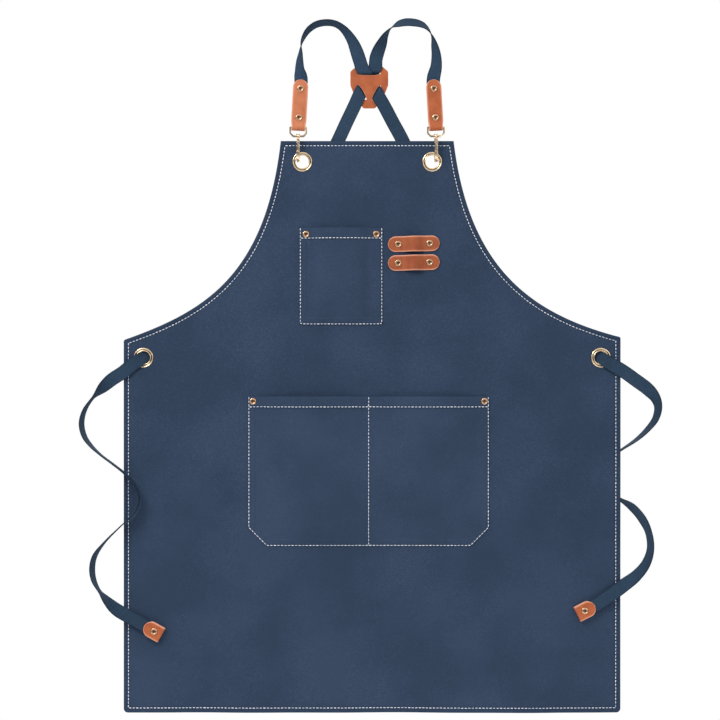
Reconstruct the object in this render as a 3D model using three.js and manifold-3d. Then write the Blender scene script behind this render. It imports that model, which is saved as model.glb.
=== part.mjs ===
// A bib apron: a canvas panel with pockets and leather tool loops, carried by two long webbing straps
// that cross in a leather back patch, clip to the bib with snap hooks and run out through the waist
// grommets as the waist ties. Millimetres, +Z up, the front of the panel faces -Y, and the origin lies
// between the crests of the two strap arches.
import * as THREE from "three";
import { mergeVertices } from "three/addons/utils/BufferGeometryUtils.js";
import Module from "manifold-3d";

const wasm = await Module();
wasm.setup();

// ---- driving dimensions ----
const GAP = 0.3; // air between touching pieces

// Canvas panel
const PANEL_WIDTH = 704;
const PANEL_HEIGHT = 810;
const BIB_WIDTH = 245;
const ARMHOLE_DROP = 283;
const BIB_TOP_Z = -171.5;
const BIB_X = -4; // the bib hangs a little to one side of the skirt
const SKIRT_X = 3;
const CLOTH = 1;
const HEM_WIDTH = 10;
const PANEL_CORNER = 6;
// The armhole's two Bezier handles, as shares of its width and of its drop.
const ARMHOLE_HANDLES = [[0.1, 0.7], [0.5, 0.835]];

// Grommets
const GROMMET_BORE_R = 9.2;
const GROMMET_FLANGE_R = 14;
const GROMMET_WALL = 0.7;
const GROMMET_FLANGE = 0.9;
const GROMMET_LIP = 0.4;
const BIB_GROMMET_SPACING = 184;
const BIB_GROMMET_DROP = 29.5;
const WAIST_GROMMET_INSET = 28;
const WAIST_GROMMET_DROP = 24;

// Rivets
const RIVET_HEAD_R = 4.8;
const RIVET_DOME = 1.3;
const RIVET_SHANK_R = 1.5;
const RIVET_BACK_R = 4;
const RIVET_BACK = 0.8;

// Pockets: flat on the panel along their seams, open at the top
const POCKET_DEPTH = 7; // how far the mouth stands open
const POCKET_RISE = 60; // height above the bottom seam at which the pocket is fully open
const POCKET_SEAM = 17;
const DIVIDER_SEAM = 5;
const MOUTH_HEM = 14;
const CHEST_POCKET = { width: 115.5, height: 136, x: BIB_X - 37, drop: 123, chamfer: 0, rivet: [8, 9.2] };
const LOWER_POCKET = { width: 338, height: 211, x: SKIRT_X - 5, drop: 362, chamfer: 26, rivet: [5, 6.7] };

// Leather tool loops
const LEATHER = 2;
const LOOP_LENGTH = 73;
const LOOP_WIDTH = 22;
const LOOP_RIVET_SPACING = 44.5;
const LOOP_RISE = 7; // clear height under the arch
const LOOP_TILT = 1.5; // degrees
const LOOPS = [["upper", 145.7], ["lower", 172.4]]; // name and drop below the bib top
const LOOP_X = BIB_X + 66;

// Webbing
const WEBBING = 19;
const WEBBING_THICK = 1.4;
const STEPS_BETWEEN_POINTS = 2;
const GROMMET_WEBBING = 10.5; // the webbing's cupped width inside a grommet

// Strap tabs and snap hooks
const HOOK_SPACING = 195;
const EYE_DROP = 19; // the eye's bar above the bib top
const TAB_LENGTH = 68; // from the eye's bar to the tab's round top
const TAB_WIDTH = 21.5;
const TAB_FOLD_WIDTH = 19.4;
const TAB_LEAN = 3.2; // degrees, the tops lean towards each other
const TAB_RIVETS = [14, 55];
const BAR_R = 1.4;
const EYE_WIDTH = 25.4;
const EYE_HEIGHT = 15;
const EYE_WIRE = 2.5;
const SWIVEL_R = 1.6;
const SWIVEL_HEAD_R = 2.8;
const SWIVEL_BOSS_R = 3.2;
const HOOK_THICK = 4.4;
const HOOK_WIRE = 3.6;
const HOOK_BACK_Y = 10;
const HOOK_FRONT_Y = -10.5;
const HOOK_BOW_RISE = 1.2; // the bow's centre line above the bib grommet's centre
const HOOK_BRIDGE = 3.4;
const GATE_PIN_R = 0.8;
const GATE_HUB_R = 1.9;
const GATE_HUB_WIDTH = 1.3;
const SPRING_WIDTH = 0.8;
const GATE_DROP = 6.8; // the gate's pin below the hook's top

// Cross patch
const PATCH = { x: -1, y: 7.2, z: -95 };
const PATCH_THICK = 2.2;
const PATCH_HALF_OUTLINE = [[18, 30.5], [27, 23], [27, 3.3], [22.8, -7.2], [8.5, -29.6]];
const SKEW = 30; // degrees between a strap's square-cut line and a slot
const ACROSS_SLOT = WEBBING / Math.cos(THREE.MathUtils.degToRad(SKEW));
const TOP_SLOT = { length: ACROSS_SLOT + 14, height: 3 * WEBBING_THICK + 1.8, z: 20.5 };
const LOWER_SLOT = { length: ACROSS_SLOT + 9, height: 2 * WEBBING_THICK + 1.4, x: 10, z: -7, slant: 61 };

// Tie tips
const TIP_LENGTH = 27;
const TIP_WIDTH = 22.5;
const TIP_RIVET = 12;

// ---- worked-out places ----
const HEM_Z = BIB_TOP_Z - PANEL_HEIGHT;
const WAIST_Z = BIB_TOP_Z - ARMHOLE_DROP;
const CLOTH_FRONT = -CLOTH / 2;
const CLOTH_BACK = CLOTH / 2;
const BIB_GROMMET_Z = BIB_TOP_Z - BIB_GROMMET_DROP;
const WAIST_GROMMET_Z = WAIST_Z - WAIST_GROMMET_DROP;
const BAR_Z = BIB_TOP_Z + EYE_DROP;
const SIDES = { left: -1, right: 1 };
const bibGrommetX = (side) => BIB_X + (side * BIB_GROMMET_SPACING) / 2;
const waistGrommetX = (side) => SKIRT_X + side * (PANEL_WIDTH / 2 - WAIST_GROMMET_INSET);
const hookX = (side) => BIB_X + (side * HOOK_SPACING) / 2;
const degrees = THREE.MathUtils.degToRad;
const clamp = THREE.MathUtils.clamp;
const smooth = (t) => THREE.MathUtils.smoothstep(t, 0, 1);

// ---- materials ----
const finish = (color, roughness, metalness = 0) =>
  new THREE.MeshStandardMaterial({ color, roughness, metalness });
const CANVAS = finish(0x394a62, 0.9);
const WEBBING_CLOTH = finish(0x2f4358, 0.85);
const HIDE = finish(0xc4703f, 0.6);
const GOLD = finish(0xd9b77a, 0.25, 1);
const COPPER = finish(0xb98a5e, 0.3, 1);
const STEEL = finish(0xb8bcc0, 0.35, 1);

// ---- solids ----
const apron = new THREE.Group();

function add(name, geometry, material) {
  const mesh = new THREE.Mesh(geometry, material);
  mesh.name = name;
  apron.add(mesh);
}

function toSolid(geometry) {
  const bare = geometry.index ? geometry.toNonIndexed() : geometry.clone();
  bare.deleteAttribute("normal");
  bare.deleteAttribute("uv");
  const merged = mergeVertices(bare, 1e-4);
  return new wasm.Manifold(
    new wasm.Mesh({
      numProp: 3,
      vertProperties: merged.attributes.position.array,
      triVerts: new Uint32Array(merged.index.array),
    }),
  );
}

function toGeometry(solid) {
  const m = solid.getMesh();
  return new THREE.BufferGeometry()
    .setAttribute("position", new THREE.BufferAttribute(m.vertProperties, 3))
    .setIndex(new THREE.BufferAttribute(m.triVerts, 1));
}

// The first geometry with the others joined on, less the cutters.
function build(joined, cutters = []) {
  const whole = joined.map(toSolid).reduce((a, b) => a.add(b));
  return toGeometry(cutters.map(toSolid).reduce((a, b) => a.subtract(b), whole));
}

// A closed outline in the XZ plane, from y = front to y = back.
function plate(shape, front, back, curveSegments = 10) {
  return new THREE.ExtrudeGeometry(shape, { depth: back - front, bevelEnabled: false, curveSegments })
    .rotateX(Math.PI / 2)
    .translate(0, back, 0);
}

// A closed outline in the YZ plane, centred on x.
function sidePlate(shape, x, thick, curveSegments = 8) {
  return new THREE.ExtrudeGeometry(shape, { depth: thick, bevelEnabled: false, curveSegments })
    .applyMatrix4(new THREE.Matrix4().set(0, 0, 1, x - thick / 2, 1, 0, 0, 0, 0, 1, 0, 0, 0, 0, 0, 1));
}

function polygon(points) {
  return new THREE.Shape(points.map(([a, b]) => new THREE.Vector2(a, b)));
}

// A round bar along Y.
function barY(x, z, radius, front, back, sides = 16) {
  return new THREE.CylinderGeometry(radius, radius, back - front, sides)
    .translate(0, (front + back) / 2, 0)
    .translate(x, 0, z);
}

// A round bar along X.
function barX(x, y, z, radius, length, sides = 16) {
  return new THREE.CylinderGeometry(radius, radius, length, sides).rotateZ(Math.PI / 2).translate(x, y, z);
}

// A round bar along Z.
function barZ(x, y, low, high, radius, sides = 16) {
  return new THREE.CylinderGeometry(radius, radius, high - low, sides)
    .rotateX(Math.PI / 2)
    .translate(x, y, (low + high) / 2);
}

// A turned piece whose axis is along Y: the profile gives [radius, y] pairs.
function turnedY(profile, x, z, segments) {
  const closed = [...profile, profile[0]].map(([r, y]) => new THREE.Vector2(r, y));
  return new THREE.LatheGeometry(closed, segments).translate(x, 0, z);
}

// A flat strip bent along a centre line. frameAt(u) gives the centre, the width's direction, the width
// and the thickness's direction at u from 0 to 1.
function bentStrip(frameAt, thick, steps) {
  const geometry = new THREE.BoxGeometry(1, 1, 1, 1, 1, steps);
  const at = geometry.attributes.position;
  const v = new THREE.Vector3();
  for (let i = 0; i < at.count; i++) {
    const { centre, across, width, normal } = frameAt(at.getZ(i) + 0.5);
    v.copy(centre)
      .addScaledVector(across, at.getX(i) * width)
      .addScaledVector(normal, at.getY(i) * thick);
    at.setXYZ(i, v.x, v.y, v.z);
  }
  return geometry;
}

// The share of the full width at a distance from a strip's round end.
function roundEnd(distance, radius) {
  const s = clamp(distance / radius, 0, 1);
  return Math.max(0.14, Math.sqrt(1 - (1 - s) ** 2));
}

// ---- rivets ----
// A capped rivet through everything between y = front and y = back.
function rivet(name, x, z, front, back) {
  const under = front - GAP;
  const behind = back + GAP;
  const head = [
    [0, behind + RIVET_BACK],
    [RIVET_BACK_R * 0.85, behind + RIVET_BACK],
    [RIVET_BACK_R, behind],
    [RIVET_SHANK_R, behind],
    [RIVET_SHANK_R, under],
    [RIVET_HEAD_R, under],
    [RIVET_HEAD_R * 0.9, under - RIVET_DOME * 0.75],
    [RIVET_HEAD_R * 0.55, under - RIVET_DOME],
    [0, under - RIVET_DOME * 0.6],
  ];
  const profile = head.map(([r, y]) => new THREE.Vector2(r, y)).reverse();
  add(name, new THREE.LatheGeometry(profile, 12).translate(x, 0, z), COPPER);
}

const rivetHole = (x, z, front, back) => barY(x, z, RIVET_SHANK_R + GAP, front - 1, back + 1, 10);

// ---- canvas panel ----
// The outline drawn inset from the cut edge: down the armholes, round the skirt and over the bib.
function panelShape(inset) {
  const shape = new THREE.Shape();
  const corner = Math.max(PANEL_CORNER - inset, 0.5);
  const bib = BIB_WIDTH / 2 - inset;
  const skirt = PANEL_WIDTH / 2 - inset;
  const top = BIB_TOP_Z - inset;
  const waist = WAIST_Z - inset;
  const low = HEM_Z + inset;
  const armhole = (side) =>
    ARMHOLE_HANDLES.map(([across, down]) => [
      THREE.MathUtils.lerp(BIB_X + side * bib, SKIRT_X + side * skirt, across),
      THREE.MathUtils.lerp(top, waist, down),
    ]);
  const right = armhole(SIDES.right);
  const left = armhole(SIDES.left);
  shape.moveTo(BIB_X - bib, top);
  shape.lineTo(BIB_X + bib, top);
  shape.bezierCurveTo(...right[0], ...right[1], SKIRT_X + skirt, waist);
  shape.lineTo(SKIRT_X + skirt, low + corner);
  shape.quadraticCurveTo(SKIRT_X + skirt, low, SKIRT_X + skirt - corner, low);
  shape.lineTo(SKIRT_X - skirt + corner, low);
  shape.quadraticCurveTo(SKIRT_X - skirt, low, SKIRT_X - skirt, low + corner);
  shape.lineTo(SKIRT_X - skirt, waist);
  shape.bezierCurveTo(...left[1], ...left[0], BIB_X - bib, top);
  return shape;
}

function panel() {
  const hem = plate(panelShape(0), CLOTH_BACK - 0.01, CLOTH_BACK + CLOTH, 16);
  const inside = plate(panelShape(HEM_WIDTH), CLOTH_BACK, CLOTH_BACK + CLOTH + 1, 16);
  const holes = [];
  for (const side of Object.values(SIDES)) {
    const hole = GROMMET_BORE_R + GROMMET_WALL + GAP;
    holes.push(barY(bibGrommetX(side), BIB_GROMMET_Z, hole, -3, 3, 20));
    holes.push(barY(waistGrommetX(side), WAIST_GROMMET_Z, hole, -3, 3, 20));
  }
  for (const { x, z } of rivetPlaces) holes.push(rivetHole(x, z, CLOTH_FRONT, CLOTH_BACK + CLOTH));
  const band = build([hem], [inside]);
  add("canvas_panel", build([plate(panelShape(0), CLOTH_FRONT, CLOTH_BACK, 16), band], holes), CANVAS);
}

// ---- grommets ----
function grommet(name, x, z) {
  const bore = GROMMET_BORE_R;
  const wall = bore + GROMMET_WALL;
  const under = CLOTH_FRONT - GAP;
  const face = under - GROMMET_FLANGE;
  const behind = CLOTH_BACK + GAP;
  const washerBack = behind + GROMMET_FLANGE;
  const lip = washerBack + 0.1;
  const eyelet = [
    [bore, lip + GROMMET_LIP],
    [bore, face + 0.5],
    [(bore + GROMMET_FLANGE_R) / 2, face - 0.3],
    [GROMMET_FLANGE_R, face + 0.4],
    [GROMMET_FLANGE_R, under],
    [wall, under],
    [wall, lip],
    [wall + 0.9, lip],
    [wall + 0.6, lip + GROMMET_LIP],
  ];
  const washer = [
    [wall + GAP, behind],
    [GROMMET_FLANGE_R, behind],
    [GROMMET_FLANGE_R - 0.4, washerBack],
    [wall + GAP, washerBack],
  ];
  add(name + "_eyelet", turnedY(eyelet, x, z, 22), GOLD);
  add(name + "_washer", turnedY(washer, x, z, 22), GOLD);
}

// ---- pockets ----
// How far the pocket's back face stands off the panel at a point: nothing along its seams, the full
// depth in the middle of each compartment above the rise.
function pocketLift(pocket, across, up) {
  const half = pocket.width / 2;
  const compartment = pocket.divided ? half : pocket.width;
  const seams = pocket.divided ? [POCKET_SEAM, DIVIDER_SEAM] : [POCKET_SEAM, POCKET_SEAM];
  const fromOuter = pocket.divided ? half - Math.abs(across) : half + across;
  const open = compartment - seams[0] - seams[1];
  const q = clamp(Math.abs((2 * (fromOuter - seams[0])) / open - 1), 0, 1);
  const rise = clamp(up / POCKET_RISE, 0, 1);
  return POCKET_DEPTH * (1 - q ** 4) ** 2 * (1 - (1 - rise) ** 3);
}

function pocket(name, p) {
  const top = BIB_TOP_Z - p.drop;
  const columns = p.divided ? 20 : 12;
  const cell = new THREE.BoxGeometry(1, 1, 1, columns, 1, 10);
  const at = cell.attributes.position;
  const mouth = 1 - MOUTH_HEM / p.height;
  for (let i = 0; i < at.count; i++) {
    // Two rows close to the mouth's fold carry the step of the hem.
    const row = Math.round((at.getZ(i) + 0.5) * 10);
    const share = row <= 8 ? (row / 8) * (mouth - 0.008) : row === 9 ? mouth : 1;
    const up = share * p.height;
    const half = p.width / 2 - clamp(p.chamfer - up, 0, p.chamfer);
    const across = at.getX(i) * 2 * half;
    const back = CLOTH_FRONT - GAP - pocketLift(p, across, up);
    const thick = row >= 9 ? 2 * CLOTH : CLOTH;
    const y = at.getY(i) > 0 ? back : back - thick;
    at.setXYZ(i, p.x + across, y, top - p.height + up);
  }
  const holes = rivetPlaces
    .filter((r) => r.on === name)
    .map((r) => rivetHole(r.x, r.z, r.front, CLOTH_FRONT));
  add(name, build([cell], holes), CANVAS);
}

// ---- leather ----
function toolLoop(level, drop) {
  const z = BIB_TOP_Z - drop;
  const half = LOOP_LENGTH / 2;
  const base = CLOTH_FRONT - GAP - LEATHER / 2;
  const reach = LOOP_RIVET_SPACING / 2 - RIVET_HEAD_R;
  const lift = (x) => (Math.abs(x) < reach ? LOOP_RISE * Math.cos((x / reach) * (Math.PI / 2)) ** 2 : 0);
  const frameAt = (u) => {
    const x = -half * Math.cos(u * Math.PI);
    const slope = Math.abs(x) < reach ? -(lift(x + 0.1) - lift(x - 0.1)) / 0.2 : 0;
    const along = new THREE.Vector3(1, slope, 0).normalize();
    const across = new THREE.Vector3(0, 0, 1);
    return {
      centre: new THREE.Vector3(x, base - lift(x), 0),
      across,
      width: LOOP_WIDTH * roundEnd(half - Math.abs(x), LOOP_WIDTH / 2),
      normal: along.clone().cross(across),
    };
  };
  const strip = bentStrip(frameAt, LEATHER, 26)
    .rotateY(-degrees(LOOP_TILT))
    .translate(LOOP_X, 0, z);
  const holes = rivetPlaces
    .filter((r) => r.on === "leather_loop_" + level)
    .map((r) => rivetHole(r.x, r.z, r.front, CLOTH_FRONT));
  add("leather_loop_" + level, build([strip], holes), HIDE);
}

// A strip of leather folded in two round an end at y = 0: both layers run up +Z with the gap between
// them, and each has a round end at the height given.
function foldedStrip({ height, width, foldWidth, foldRadius, gap }) {
  const layer = (gap + LEATHER) / 2;
  const bend = foldRadius + LEATHER / 2;
  const neck = 3 * bend;
  const side = [
    [layer, height],
    [layer, height * 0.75],
    [layer, Math.max(height * 0.5, neck + 2)],
    [layer, neck],
    [(layer + bend) / 2, neck / 2],
    [bend, 0],
  ];
  const arc = [0.25, 0.5, 0.75].map((f) => [bend * Math.cos(f * Math.PI), -bend * Math.sin(f * Math.PI)]);
  const mirrored = side.map(([y, z]) => [-y, z]).reverse();
  const points = [...side, ...arc, ...mirrored].map(([y, z]) => new THREE.Vector3(0, y, z));
  const curve = new THREE.CatmullRomCurve3(points);
  const length = curve.getLength();
  const across = new THREE.Vector3(1, 0, 0);
  const frameAt = (u) => {
    const eased = u - (0.8 * Math.sin(4 * Math.PI * u)) / (4 * Math.PI); // close steps at ends and fold
    const toEnd = Math.min(eased, 1 - eased) * length;
    const centre = curve.getPointAt(eased);
    const taper = smooth(centre.z / neck);
    return {
      centre,
      across,
      width: THREE.MathUtils.lerp(foldWidth, width, taper) * roundEnd(toEnd, width / 2),
      normal: curve.getTangentAt(eased).cross(across),
    };
  };
  return bentStrip(frameAt, LEATHER, 36);
}

const leanAt = (side, height) => hookX(side) - side * height * Math.tan(degrees(TAB_LEAN));

function strapTab(name, side) {
  const strip = foldedStrip({
    height: TAB_LENGTH,
    width: TAB_WIDTH,
    foldWidth: TAB_FOLD_WIDTH,
    foldRadius: 2.6,
    gap: WEBBING_THICK + 2 * GAP,
  })
    .rotateY(-side * degrees(TAB_LEAN))
    .translate(hookX(side), 0, BAR_Z);
  const reach = WEBBING_THICK / 2 + GAP + LEATHER;
  const places = TAB_RIVETS.map((h) => [leanAt(side, h), BAR_Z + h]);
  add(name + "_strap_tab", build([strip], places.map(([x, z]) => rivetHole(x, z, -reach, reach))), HIDE);
  places.forEach(([x, z], i) => rivet(name + "_tab_rivet_" + (i ? "upper" : "lower"), x, z, -reach, reach));
}

// A slot with round ends as a closed outline round the origin.
function slotShape(length, height) {
  const r = height / 2;
  const half = length / 2 - r;
  const shape = new THREE.Shape();
  shape.moveTo(-half, -r);
  shape.lineTo(half, -r);
  shape.absarc(half, 0, r, -Math.PI / 2, Math.PI / 2);
  shape.lineTo(-half, r);
  shape.absarc(-half, 0, r, Math.PI / 2, (3 * Math.PI) / 2);
  return shape;
}

function crossPatch() {
  const outline = [...PATCH_HALF_OUTLINE, ...PATCH_HALF_OUTLINE.map(([x, z]) => [-x, z]).reverse()];
  const half = PATCH_THICK / 2;
  const slots = [plate(slotShape(TOP_SLOT.length, TOP_SLOT.height), -2, 2).translate(0, 0, TOP_SLOT.z)];
  for (const side of Object.values(SIDES)) {
    slots.push(
      plate(slotShape(LOWER_SLOT.length, LOWER_SLOT.height), -2, 2)
        .rotateY(-side * degrees(LOWER_SLOT.slant))
        .translate(side * LOWER_SLOT.x, 0, LOWER_SLOT.z),
    );
  }
  add("cross_patch", build([plate(polygon(outline), -half, half)], slots).translate(PATCH.x, PATCH.y, PATCH.z), HIDE);
}

// ---- webbing straps ----
// Each strap is one length of webbing from its strap tab, over an arch, through the cross patch, down
// behind the panel, out through the waist grommet on the other side and down as that side's tie.
// A route's points are [x, y, z, roll, width, skew] from an anchor. Roll turns the webbing's width out
// of the XZ plane about its own line, and skew slants its cross lines along a slot, both in degrees.
const W = WEBBING;
const ROUTES = {
  left: {
    rise: [
      [-2, 0, 14, 45], [-2, 0.5, 28, 60], [-1, 1, 39, 74], [0, 1, 50, 90],
      [3, 1, 59, 99], [10, 1, 70, 106], [21, 1, 78, 108], [35, 1, 81, 108],
    ],
    fall: [
      [-49, -6, 90, 108], [-40, -6, 85, 112], [-32, -6, 77, 122], [-24, -5, 65, 137],
      [-18, -4.8, 51, 162], [-14, -4.2, 39, 180], [-10, -3.9, 27.5, 180, W, -SKEW],
      [-6.3, -3.4, 20.7, 180, W, -SKEW], [-5.6, -0.85, 19.5, 180, W, -SKEW],
      [-4.8, 1.7, 18.2, 180, W, -SKEW], [-1.7, 2.2, 13, 180, W, -SKEW], [2.5, 2.2, 5.8, 180],
      [6.5, 2.2, -1.1, 180, W, SKEW], [9.4, 1.7, -6.2, 180, W, SKEW], [10.2, -0.85, -7.6, 180, W, SKEW],
      [11.1, -3.4, -9, 180, W, SKEW], [14, -3.9, -14.1, 180, W, SKEW], [22, -3.9, -28, 180],
      [33, -3.9, -49, 180], [47, -3.9, -75, 180],
    ],
    tie: [
      [7, -3, -4.6, 180, 12], [15, -3.3, -9.5, 180], [31, -4, -19, 180], [49, -6, -32, 176],
      [66, -8, -45, 160], [76, -9, -57, 132], [80, -8, -70, 116], [77, -4, -86, 110],
      [67, 2, -101, 104], [52, 8, -116, 97], [31, 13, -131, 90], [13, 13.5, -144, 90],
      [2, 13.5, -160, 90], [5, 13.5, -178, 90], [15, 13.5, -191, 92], [28, 13.2, -201, 100],
      [46, 9, -213, 122], [60, 5, -230, 122], [68, 1, -248, 112], [70, -3, -270, 112],
      [63, -7, -291, 122], [49, -9, -308, 137], [31, -8.5, -322, 162], [14, -7, -335, 178],
      [-2, -6.2, -346, 180], [-16, -5.9, -354, 180], [-32, -5.8, -362, 180],
    ],
  },
  right: {
    rise: [
      [4, 0, 19, 34], [4, 0.5, 35, 50], [1.5, 1, 49, 66], [-2, 1, 62, 90],
      [-8, 1, 72, 108], [-16, 1, 78, 124], [-27, 1, 81, 132], [-39, 1, 81.5, 132],
    ],
    fall: [
      [42, -5, 90, 124], [34, -4, 86, 102], [28, -4, 81, 88], [23, -3, 74, 70],
      [17, -2, 64, 46], [12, -0.9, 53, 22], [10, -1.5, 42, 4], [8, -2.2, 28.5, 0, W, -SKEW],
      [4.9, -1.7, 22.5, 0, W, -SKEW], [4.2, 0.85, 21.3, 0, W, -SKEW], [3.5, 3.4, 20, 0, W, -SKEW],
      [1, 3.9, 15.3, 0, W, -SKEW], [-3, 3.9, 8.4, 0], [-7, 3.9, 1.5, 0, W, SKEW],
      [-9.9, 3.4, -3.5, 0, W, SKEW], [-10.7, 0.85, -4.9, 0, W, SKEW], [-11.6, -1.7, -6.4, 0, W, SKEW],
      [-14.5, -2.2, -11.5, 0, W, SKEW], [-21.5, -2.2, -27, 0], [-32, -2.6, -49, 0], [-44, -3.2, -75, 0],
    ],
    tie: [
      [-7, -3, -4.6, 0, 12], [-15, -3.3, -9.5, 0], [-29, -4, -21, 0], [-44, -6.5, -31, 14],
      [-56, -9.5, -42, 42], [-71, -12, -58, 86], [-82, -12.5, -75, 80], [-86, -12.5, -93, 76],
      [-82, -12.5, -111, 78], [-72, -12.5, -125, 84], [-58, -12.5, -138, 90], [-42, -12.5, -150, 90],
      [-28, -12.5, -161, 90], [-14, -12.5, -175, 90], [-5, -12.5, -197, 90], [-11, -12.5, -219, 90],
      [-30, -12.5, -237, 90], [-53, -12.5, -260, 86], [-67, -12.5, -279, 76], [-71, -12.5, -296, 74],
      [-69, -12.5, -313, 78], [-61, -12.5, -329, 88], [-52, -11.5, -341, 66], [-38, -9, -355, 32],
      [-22, -7, -365, 10], [-6, -6, -374, 0], [9, -5.8, -383, 0], [24, -5.8, -391.5, 0],
    ],
  },
};

// Behind the panel both straps hang slack, well inside the armholes: [x, z] on the left strap's side of
// the patch, then from its waist grommet.
const LIP_BACK = CLOTH_BACK + GAP + GROMMET_FLANGE + 0.1 + GROMMET_LIP;
const BEHIND = LIP_BACK + GAP + WEBBING_THICK / 2 + 0.6;
const HIDDEN = {
  fromPatch: [[-76, -140], [-109, -210], [-150, -272]],
  fromGrommet: [[118, 55], [62, 24], [18, 8]],
};

// All of one strap's route points in the apron's frame.
function strapRoute(name) {
  const side = SIDES[name];
  const { rise, fall, tie } = ROUTES[name];
  const from = ([x, y, z]) => ([dx, dy, dz, roll, width = W, skew = 0]) =>
    [x + dx, y + dy, z + dz, roll, width, skew];
  const inTab = [8, 22, 38, 54, TAB_LENGTH].map((h) => [leanAt(side, h), 0, BAR_Z + h, 0, W, 0]);
  const crest = rise.map(from([leanAt(side, TAB_LENGTH), 0, BAR_Z + TAB_LENGTH]));
  const patch = fall.map(from([PATCH.x, PATCH.y, PATCH.z]));
  const grommetAt = [waistGrommetX(-side), 0, WAIST_GROMMET_Z];
  const flat = patch[patch.length - 1];
  const mirror = ([dx, dz]) => [side * dx, BEHIND, dz, flat[3]];
  const hidden = [
    ...HIDDEN.fromPatch.map(mirror).map(from([PATCH.x, 0, PATCH.z])),
    ...HIDDEN.fromGrommet.map(mirror).map(from(grommetAt)),
  ];
  const through = [[side * 7.6, BEHIND - 0.1, 3.9, flat[3], 12], [0, 0.3, 0, flat[3], GROMMET_WEBBING]];
  return [...inTab, ...crest, ...patch, ...hidden, ...[...through, ...tie].map(from(grommetAt))];
}

// The centre, width and directions of a strap's webbing at u from 0 to 1.
function strapFrames(name) {
  const route = strapRoute(name);
  const line = new THREE.CatmullRomCurve3(route.map(([x, y, z]) => new THREE.Vector3(x, y, z)));
  const turn = new THREE.CatmullRomCurve3(route.map((p) => new THREE.Vector3(p[3], p[4], p[5])));
  const depth = new THREE.Vector3(0, 1, 0);
  return (u) => {
    const along = line.getTangent(u);
    const level = along.clone().cross(depth).normalize();
    const out = level.clone().cross(along);
    const { x: roll, y: width, z: skew } = turn.getPoint(u);
    const square = level
      .multiplyScalar(Math.cos(degrees(roll)))
      .addScaledVector(out, Math.sin(degrees(roll)));
    const slant = degrees(skew);
    const flat = along.clone().setY(0).normalize();
    return {
      centre: line.getPoint(u),
      across: square.clone().multiplyScalar(Math.cos(slant)).addScaledVector(flat, Math.sin(slant)),
      width: width / Math.cos(slant),
      normal: along.cross(square),
      points: route.length,
    };
  };
}

function strap(name) {
  const frameAt = strapFrames(name);
  const webbing = bentStrip(frameAt, WEBBING_THICK, STEPS_BETWEEN_POINTS * (frameAt(0).points - 1));
  const end = frameAt(1);
  const along = end.across.clone().cross(end.normal);
  const tipRivet = end.centre.clone().addScaledVector(along, GAP + LEATHER - TIP_RIVET);
  const tipReach = WEBBING_THICK / 2 + GAP + LEATHER;
  const holes = TAB_RIVETS.map((h) => rivetHole(leanAt(SIDES[name], h), BAR_Z + h, -3, 3));
  const tie = name === "left" ? "right" : "left";
  holes.push(rivetHole(tipRivet.x, tipRivet.z, tipRivet.y - 3, tipRivet.y + 3));
  add(name + "_strap", build([webbing], holes), WEBBING_CLOTH);

  // The tip's fold lies just past the webbing's cut end, so its layers run back along the tie.
  const place = new THREE.Matrix4()
    .makeBasis(end.across, along.clone().cross(end.across).negate(), along.clone().negate())
    .setPosition(end.centre.clone().addScaledVector(along, 2 * GAP - 1));
  const tip = foldedStrip({
    height: TIP_LENGTH - LEATHER,
    width: TIP_WIDTH,
    foldWidth: TIP_WIDTH,
    foldRadius: WEBBING_THICK / 2 + GAP,
    gap: WEBBING_THICK + 2 * GAP,
  }).applyMatrix4(place);
  const hole = rivetHole(tipRivet.x, tipRivet.z, tipRivet.y - 5, tipRivet.y + 5);
  add(tie + "_tie_tip", build([tip], [hole]), HIDE);
  rivet(tie + "_tie_rivet", tipRivet.x, tipRivet.z, tipRivet.y - tipReach, tipRivet.y + tipReach);
}

// ---- snap hooks ----
function eye(name, x) {
  const top = BAR_Z + BAR_R;
  const low = top - EYE_HEIGHT;
  const half = EYE_WIDTH / 2;
  const taper = 4;
  const outer = polygon([
    [-half + 0.8, top], [-half, top - 0.8], [-half, low + 5.5], [-half + taper, low + 0.8],
    [-half + taper + 1.5, low], [half - taper - 1.5, low], [half - taper, low + 0.8],
    [half, low + 5.5], [half, top - 0.8], [half - 0.8, top],
  ].reverse());
  const inner = polygon([
    [-half + EYE_WIRE, BAR_Z - BAR_R], [-half + EYE_WIRE, low + 6], [-half + taper + 2, low + EYE_WIRE + 0.2],
    [half - taper - 2, low + EYE_WIRE + 0.2], [half - EYE_WIRE, low + 6], [half - EYE_WIRE, BAR_Z - BAR_R],
  ].reverse());
  const ring = build([plate(outer, -BAR_R, BAR_R)], [plate(inner, -BAR_R - 1, BAR_R + 1)]);
  const boss = barZ(0, 0, low, low + EYE_WIRE + 0.2, SWIVEL_BOSS_R);
  const hole = barZ(0, 0, low - 1, low + EYE_WIRE + 1, SWIVEL_R + GAP);
  add(name + "_hook_eye", build([ring, boss], [hole]).translate(x, 0, 0), GOLD);
  return { low, high: low + EYE_WIRE + 0.2 };
}

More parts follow.
